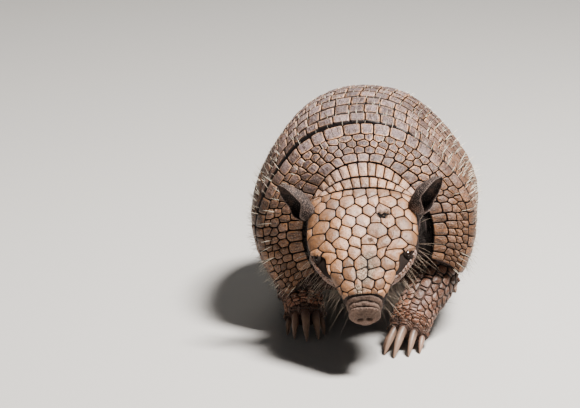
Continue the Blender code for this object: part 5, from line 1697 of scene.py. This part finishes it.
class ARMADILLO_OT_leg_scales(bpy.types.Operator):
    """Builds the overlapping scales on the outer and front faces of the legs, and those of the toes"""
    bl_idname = "armadillo.leg_scales"
    bl_label = "Leg scales"

    def execute(self, context):
        for index, (limb, (rows, _)) in enumerate(LIMBS.items()):
            fore = "fore" in limb
            start, end = (0.30, 0.975) if fore else (0.36, 0.72)
            turns = (-0.75, 2.95) if fore else (-0.6, 2.7)

            def place(u, s, h):
                return limb_skin(rows, start + (end - start) * u, turns[0] + (turns[1] - turns[0]) * s, h)

            count = 15 if fore else 9
            around = [8 if r % 2 else 9 for r in range(count)] if fore else [7] * count
            grid = scute_rows(np.linspace(0, 1, count + 1), around, 0.30, 0.14, seed=40 + index)
            sheaf = Sheaf()
            # Painted shade: each scale's near end, tucked under the one above, is dark, and the low colour
            # darkens the scales high on the leg, under the shell
            add_scutes(sheaf, grid, place, seed=40 + index, gap=0.24, lean=0.0010, points=24, rounding=3,
                       depth=0.0020, bead=1.4, under=0.14, flank=lambda u, s: np.clip(1.20 - 1.5 * u, 0, 1))
            for number, toe in enumerate(toe_places(*LIMBS[limb])):
                def on_toe(u, s, h):
                    return toe_skin(toe, 0.34 + 0.50 * u, math.pi * (0.02 + 0.96 * s), h)

                grid = scute_rows(np.linspace(0, 1, 5), (3, 2, 3, 2), 0.1, 0.10, seed=10 * index + number)
                add_scutes(sheaf, grid, on_toe, seed=10 * index + number, gap=0.20, size=0.8, lean=0.0005,
                           points=18, depth=0.0014, flank=lambda u, s: 0.45 + 0.5 * u)
            new_piece(f"{limb}_scales", sheaf.mesh("scales"), [scale_material(context.scene)])
        return {"FINISHED"}


class ARMADILLO_OT_tail_scutes(bpy.types.Operator):
    """Builds the rings of scutes round the tail"""
    bl_idname = "armadillo.tail_scutes"
    bl_label = "Tail scutes"

    def execute(self, context):
        def place(u, s, h):
            return tail_skin(TAIL_REACH[0] + TAIL_REACH[1] * u, -math.pi / 2 + 2 * math.pi * s, h)

        lines = np.linspace(0, 1, 31)
        radii = along_rows([(radius,) for _, radius in TAIL], TAIL_REACH[0] + TAIL_REACH[1] * lines)[:, 0]
        counts = [max(5, round(2 * math.pi * r / TAIL_SCUTE)) for r in (radii[1:] + radii[:-1]) / 2]
        sheaf = Sheaf()
        grid = scute_rows(lines, counts, 0.10, 0.10, seed=60)
        add_scutes(sheaf, grid, place, seed=60, gap=0.22, lean=0.0004, bead=1.3, depth=0.0018, points=16)
        new_piece("tail_rings", sheaf.mesh("tail_rings"), [scale_material(context.scene)])
        return {"FINISHED"}


def on_cheek(side):
    """The cheek, with along from 0 ahead to 1 behind and across from 0 above to 1 below."""
    def face(station, drop):
        top, level, under = head_levels(station)
        share = np.clip(np.abs(drop) / np.where(drop < 0, top - level, level - under), 0, 1)
        power = np.where(drop < 0, HEAD_ROUNDNESS, JAW_ROUNDNESS)
        reach = smooth_through(HEAD_HALF_WIDTH, station) * (1 - share**power) ** (1 / power)
        return np.stack([reach, station, level - drop], -1)

    def place(u, s, h):
        station, drop = CHEEK_BACK[0] + CHEEK_BACK[1] * u, CHEEK_DOWN[0] + CHEEK_DOWN[1] * s
        normal = normal_of(face, station, drop)
        return from_head(lifted(face(station, drop), normal * np.sign(normal[..., :1]), h) * (side, 1, 1))

    return place


class ARMADILLO_OT_face_scutes(bpy.types.Operator):
    """Builds the small scutes below the eyes"""
    bl_idname = "armadillo.face_scutes"
    bl_label = "Face scutes"

    def execute(self, context):
        skin, sheaf = context.scene.armadillo_skin, Sheaf()
        for side in (-1, 1):
            points, cells = scute_rows(np.linspace(0, 1, 10), CHEEK_SCUTES, 0.25, 0.20, 70 + side)
            place, kept = on_cheek(side), []
            for cell in cells:
                u, s = points[cell].mean(axis=0)
                middle = place(np.array([u]), np.array([s]), np.zeros(1))[0]
                if eye_distance(middle) > CHEEK_FROM_EYE and s > 0.16 * u - 0.10:
                    kept.append(cell)
            add_scutes(sheaf, (points, kept), place, seed=70 + side, gap=0.22, size=0.7, depth=0.0012,
                       bead=1.3, points=18)
        horn = horn_material(context.scene, "cheek_horn", CHEEK_CENTRE, skin.scale_rim, skin.scale, 0.2, 0.6)
        new_piece("cheek_scutes", sheaf.mesh("cheek_scutes"), [horn])
        return {"FINISHED"}


def unwrapped(points):
    """A place on a flat unwrap of the skin for points of the body: the body's tube, and each leg's."""
    x, y, z = points.T
    u = 0.04 + 0.50 * (np.arctan2(x, z - 0.09) / (2 * math.pi) + 0.5)
    v = 0.04 + 0.92 * np.clip((y + 0.25) / 0.65, 0, 1)
    for index, (rows, _) in enumerate(LIMBS.values()):
        line = limb_path(rows, np.linspace(0, 1, 12))[0]
        away = np.linalg.norm(points[:, None] - line[None], axis=-1)
        near, at = away.min(axis=1), away.argmin(axis=1)
        on_leg = (near < 0.032) & (z < 0.07)
        middle = line[at]
        turn = np.arctan2(x - middle[:, 0], middle[:, 1] - y)
        u = np.where(on_leg, 0.60 + 0.10 * index + 0.08 * (turn / (2 * math.pi) + 0.5), u)
        v = np.where(on_leg, 0.04 + 0.92 * at / 12 + 0.04 * z, v)
    return np.stack([u, v], -1)


def add_hairs(name, roots, ways, bends, lengths, width, places, material, tints, steps=5):
    """Makes one piece of tapered hairs, with each hair a small patch of the map OFBake."""
    count = len(roots)
    s = np.linspace(0, 1, steps)
    line = (roots[:, None] + ways[:, None] * (lengths[:, None] * s)[..., None]
            + bends[:, None] * (lengths[:, None] * s**2)[..., None])
    way = unit(np.gradient(line, axis=1))
    side = unit(np.cross(way, np.array([0.31, 0.17, 0.93])))
    up = np.cross(way, side)
    size = width[:, None] * (1 - 0.93 * s**1.5)
    turns = np.arange(3) * 2 * math.pi / 3
    points = (line[:, :, None] + side[:, :, None] * (size[..., None] * np.cos(turns))[..., None]
              + up[:, :, None] * (size[..., None] * np.sin(turns))[..., None])
    ids = np.arange(count * steps * 3).reshape(count, steps, 3)
    over = np.roll(ids, -1, axis=2)
    quads = np.stack([ids[:, :-1], over[:, :-1], over[:, 1:], ids[:, 1:]], -1).reshape(-1, 4)
    sheaf = Sheaf()
    sheaf.add(points, [quads, ids[:, 0, ::-1], ids[:, -1]],
              along=np.broadcast_to(s[:, None], ids.shape).ravel(),
              tint=np.broadcast_to(tints[:, None, None], ids.shape).ravel())
    mesh = sheaf.mesh(name)
    patch = np.stack(np.broadcast_arrays((s[:, None] - 0.5) * 0.003, (np.arange(3)[None] - 1) * 0.0012), -1)
    flat = (places[:, None, None] + patch[None]).reshape(-1, 2)
    corners = np.empty(len(mesh.loops), np.int32)
    mesh.loops.foreach_get("vertex_index", corners)
    mesh.uv_layers.new(name="OFBake").data.foreach_set("uv", flat[corners].astype(np.float32).ravel())
    return new_piece(name, mesh, [material])


def hair_material(name, root, tip):
    """Hair, darker at its root and varied from one to the next."""
    made, tree, shader = new_material(name)
    along, tint = value_of(tree, "along"), value_of(tree, "tint")
    colour = blend(tree, ramp(tree, along, 0.0, 0.5), root, tip)
    shade = ramp(tree, tint, 0.0, 1.0, 0.45, 1.15)
    tree.links.new(node(tree, "ShaderNodeHueSaturation", {"Color": colour, "Value": shade}).outputs[0],
                   shader.inputs["Base Color"])
    shader.inputs["Roughness"].default_value = 0.42
    return made


class ARMADILLO_OT_bristles(bpy.types.Operator):
    """Builds the pale bristles that stand out between the rows of scutes"""
    bl_idname = "armadillo.bristles"
    bl_label = "Bristles"

    def execute(self, context):
        hair = context.scene.armadillo_hair
        draw = np.random.default_rng(90)
        rows = [SHOULDER_ROWS[3], SHOULDER_LENGTH]
        rows += [SHOULDER_LENGTH + (k + 1) * BAND_PITCH for k in range(BAND_COUNT)]
        rows += list(np.linspace(PELVIS_START, SHELL_LENGTH, PELVIC_ROWS + 1)[1:])
        shares = np.array([0.5, 1.0] + [1.5] * BAND_COUNT + [0.9] * PELVIC_ROWS)
        row = draw.choice(len(rows), hair.bristles, p=shares / shares.sum())
        across = draw.uniform(-1, 1, hair.bristles)
        out = np.sign(across) * np.abs(across) ** 0.62
        across = np.where(draw.random(hair.bristles) < 0.5, out, across) * 0.995
        clumps = np.round(across * 33) / 33 + draw.normal(0, 0.0022, hair.bristles)
        along = np.array(rows)[row] - 0.0009 + draw.normal(0, 0.0003, hair.bristles)
        root = shell(along, clumps, np.full(hair.bristles, -0.0006))
        back = unit(shell(along + 0.002, clumps) - shell(along - 0.002, clumps))
        outward = unit(shell(along, clumps, np.full(hair.bristles, 0.01)) - shell(along, clumps))
        side = np.cross(back, outward)
        rise = np.radians(draw.uniform(20, 50, hair.bristles))[:, None]
        lean = draw.normal(0, 0.13, hair.bristles)[:, None]
        way = unit(back * np.cos(rise) + outward * np.sin(rise) + side * lean)
        bend = back * 0.16 - outward * 0.10 + np.array([0, 0, -0.10])
        bend = bend + side * draw.normal(0, 0.05, (hair.bristles, 1))
        flank = 0.45 + 0.55 * smooth_step((np.abs(clumps) - 0.25) / 0.4)
        length = hair.bristle_length * draw.uniform(0.45, 1.05, hair.bristles) * flank
        width = draw.uniform(0.00015, 0.00027, hair.bristles)
        limit = smooth_through(HALF_WIDTH, SHELL_LENGTH / 2) + BRISTLE_REACH
        tip = (root + (way + bend) * length[:, None])[:, 0]
        way[:, 0] -= np.sign(tip) * np.maximum(np.abs(tip) - limit, 0) / length
        places = np.stack([0.04 + 0.92 * (clumps + 1) / 2, 0.04 + 0.92 * along / SHELL_LENGTH], -1)
        material = hair_material("pale_bristle", BRISTLE_ROOT, hair.pale)
        add_hairs("bristles", root, way, bend, length, width, places, material,
                  draw.random(hair.bristles))
        return {"FINISHED"}


class ARMADILLO_OT_hair(bpy.types.Operator):
    """Builds the sparse hair of the cheeks, chin, belly and legs, and the long hairs of the cheeks"""
    bl_idname = "armadillo.hair"
    bl_label = "Hair"

    def execute(self, context):
        hair = context.scene.armadillo_hair
        draw = np.random.default_rng(91)
        points, normals = read_points(bpy.data.objects["skin"].data)
        local = to_head(points)
        x, y, z = points.T
        _, behind_nose, above_shield = local.T
        on_head = behind_nose < 0.125
        chin = on_head & (above_shield < -0.020) & (behind_nose > 0.012)
        belly = ~on_head & (normals[:, 2] < -0.25) & (z > 0.035) & (y < 0.16)
        leg = (z < 0.075) & (z > 0.012) & (np.abs(x) > 0.028) & ~on_head
        behind = leg & (normals[:, 1] > 0.1)
        neck = ~on_head & (y < -0.075) & (np.abs(normals[:, 0]) > 0.35)
        lips = on_head & (behind_nose < 0.02) & (behind_nose > 0.009) & (above_shield < -0.024)
        chance = 1.3 * chin + 0.7 * belly + 0.35 * leg + 1.6 * behind + 0.8 * neck + 1.2 * lips
        fine = np.where(on_head, 0.22, np.where(leg | neck, 0.45, 1.0))
        chance = chance * fine * (z > 0.004)
        pick = draw.choice(len(points), hair.hairs, p=chance / chance.sum())
        root, out, place = points[pick], normals[pick], local[pick]
        back = np.where(on_head[pick][:, None], HEAD_TURN[:, 1], np.array([0.0, 0.6, -0.55]))
        back = np.where(leg[pick][:, None], np.array([0.0, 0.35, -0.9]), back)
        rise = draw.uniform(0.35, 0.95, hair.hairs)[:, None]
        way = unit(out * rise + back + draw.normal(0, 0.22, (hair.hairs, 3)))
        bend = np.array([0, 0, -0.22]) + draw.normal(0, 0.07, (hair.hairs, 3))
        length = hair.hair_length * draw.uniform(0.45, 1.25, hair.hairs)
        length *= np.where(behind[pick] | belly[pick], 1.25, 0.85)
        length *= np.where(on_head[pick] & (place[:, 1] < 0.03), 0.75, 1.0)
        room = np.maximum(root[:, 2] - 0.001, 0.001)
        drop = -(way[:, 2] + bend[:, 2])
        length = np.where(drop > 0.05, np.minimum(length, room / np.maximum(drop, 0.05)), length)
        pale = draw.random(hair.hairs) < np.where(belly[pick] | behind[pick], 0.45, 0.12)
        dark = hair_material("dark_hair", DARK_HAIR_ROOT, hair.dark)
        light = hair_material("light_hair", LIGHT_HAIR_ROOT, LIGHT_HAIR)
        for name, kept, material in (("dark_hairs", ~pale, dark), ("pale_hairs", pale, light)):
            width = draw.uniform(0.00009, 0.00015, kept.sum())
            add_hairs(name, root[kept], way[kept], bend[kept], length[kept], width, unwrapped(root[kept]),
                      material, draw.random(kept.sum()))
        cheek_hairs(draw, light)
        return {"FINISHED"}


def cheek_hairs(draw, material):
    """The long stiff hairs that fan out from the cheeks and the chin."""
    count = 130
    side = np.where(draw.random(count) < 0.5, -1.0, 1.0)
    station = draw.uniform(0.026, 0.082, count)
    angle = np.radians(draw.uniform(92, 150, count))
    root = head_side(station, side * angle)
    out = unit(head_side(station, side * angle, np.full(count, 0.01)) - root)
    forward = -HEAD_TURN[:, 1]
    way = unit(out + forward * draw.uniform(-0.3, 0.35, (count, 1)) + np.array([0, 0, -0.15])
               + draw.normal(0, 0.16, (count, 3)))
    way[:, 0] = np.abs(way[:, 0]) * side
    bend = np.array([0, 0, -0.16]) + draw.normal(0, 0.06, (count, 3))
    length = draw.uniform(0.012, 0.030, count)
    width = draw.uniform(0.00010, 0.00016, count)
    add_hairs("cheek_bristles", root, way, bend, length, width, unwrapped(root), material,
              draw.uniform(0.4, 1.0, count), 6)


class ARMADILLO_OT_stage(bpy.types.Operator):
    """Sets the floor, the soft studio light and the photo's camera"""
    bl_idname = "armadillo.stage"
    bl_label = "Stage"

    def execute(self, context):
        set_floor()
        set_lights()
        set_camera(context.scene)
        return {"FINISHED"}


def set_floor():
    """A plain pale floor."""
    bpy.ops.mesh.primitive_plane_add(size=12)
    floor = bpy.context.object
    floor.name = "floor"
    made, _, shader = new_material("floor_paper")
    shader.inputs["Base Color"].default_value = FLOOR_COLOUR
    shader.inputs["Roughness"].default_value = 0.9
    floor.data.materials.append(made)


def set_lights():
    """A warm key from the upper right, a soft front fill, a back light and a pale surround."""
    for name, place, size, power, colour in LIGHTS:
        data = bpy.data.lights.new(name, "AREA")
        data.size, data.energy, data.color = size, power, colour
        light = linked(name, data)
        light.location = place
        light.rotation_euler = (Vector(LIGHT_AIM) - Vector(place)).to_track_quat("-Z", "Y").to_euler()
    world = bpy.data.worlds.new("studio")
    world.use_nodes = True
    surround = world.node_tree.nodes["Background"].inputs
    surround["Color"].default_value = SURROUND
    surround["Strength"].default_value = SURROUND_STRENGTH
    bpy.context.scene.world = world


def set_camera(scene):
    """The camera that took the photo."""
    turn, rise = math.radians(CAMERA_TURN), math.radians(CAMERA_RISE)
    away = Vector((math.sin(turn) * math.cos(rise), -math.cos(turn) * math.cos(rise), math.sin(rise)))
    data = bpy.data.cameras.new("photo_camera")
    data.sensor_width = SENSOR
    data.lens = CAMERA_FOCUS * SENSOR / IMAGE_SIZE[0]
    camera = linked("photo_camera", data)
    look = (-away).to_track_quat("-Z", "Y").to_matrix()
    aside = math.atan((AIM_PIXEL[0] - IMAGE_SIZE[0] / 2) / CAMERA_FOCUS)
    down = math.atan((AIM_PIXEL[1] - IMAGE_SIZE[1] / 2) / CAMERA_FOCUS)
    look = look @ Matrix.Rotation(aside, 3, "Y") @ Matrix.Rotation(down, 3, "X")
    place = Vector(CAMERA_AIM) + Vector(SHIFT) + away * CAMERA_AWAY
    camera.matrix_world = Matrix.Translation(place) @ look.to_4x4()
    scene.camera = camera


PROPERTIES = {"armadillo_armour": ArmadilloArmour, "armadillo_skin": ArmadilloSkin,
              "armadillo_hair": ArmadilloHair}
OPERATORS = (ARMADILLO_OT_shoulder_shield, ARMADILLO_OT_bands, ARMADILLO_OT_pelvic_shield,
             ARMADILLO_OT_head_shield, ARMADILLO_OT_neck_bands, ARMADILLO_OT_skin, ARMADILLO_OT_face_scutes,
             ARMADILLO_OT_eyes, ARMADILLO_OT_ears, ARMADILLO_OT_claws, ARMADILLO_OT_leg_scales,
             ARMADILLO_OT_tail_scutes, ARMADILLO_OT_bristles, ARMADILLO_OT_hair, ARMADILLO_OT_stage)


class ARMADILLO_PT_model(bpy.types.Panel):
    """Lists the steps that build the armadillo"""
    bl_label = "Armadillo"
    bl_idname = "ARMADILLO_PT_model"
    bl_space_type = "VIEW_3D"
    bl_region_type = "UI"
    bl_category = "Armadillo"

    def draw(self, context):
        for key, group in PROPERTIES.items():
            box = self.layout.box()
            for name in group.__annotations__:
                box.prop(getattr(context.scene, key), name)
        for operator in OPERATORS:
            self.layout.operator(operator.bl_idname)


CLASSES = tuple(PROPERTIES.values()) + OPERATORS + (ARMADILLO_PT_model,)


def register():
    """Adds the classes and the scene's settings."""
    for made in CLASSES:
        bpy.utils.register_class(made)
    for key, group in PROPERTIES.items():
        setattr(bpy.types.Scene, key, PointerProperty(type=group))


def unregister():
    """Removes the scene's settings and the classes."""
    for key in PROPERTIES:
        delattr(bpy.types.Scene, key)
    for made in reversed(CLASSES):
        bpy.utils.unregister_class(made)


def main():
    """Builds the whole model."""
    register()
    for operator in OPERATORS:
        getattr(bpy.ops.armadillo, operator.bl_idname.split(".")[1])()


if __name__ == "__main__":
    main()
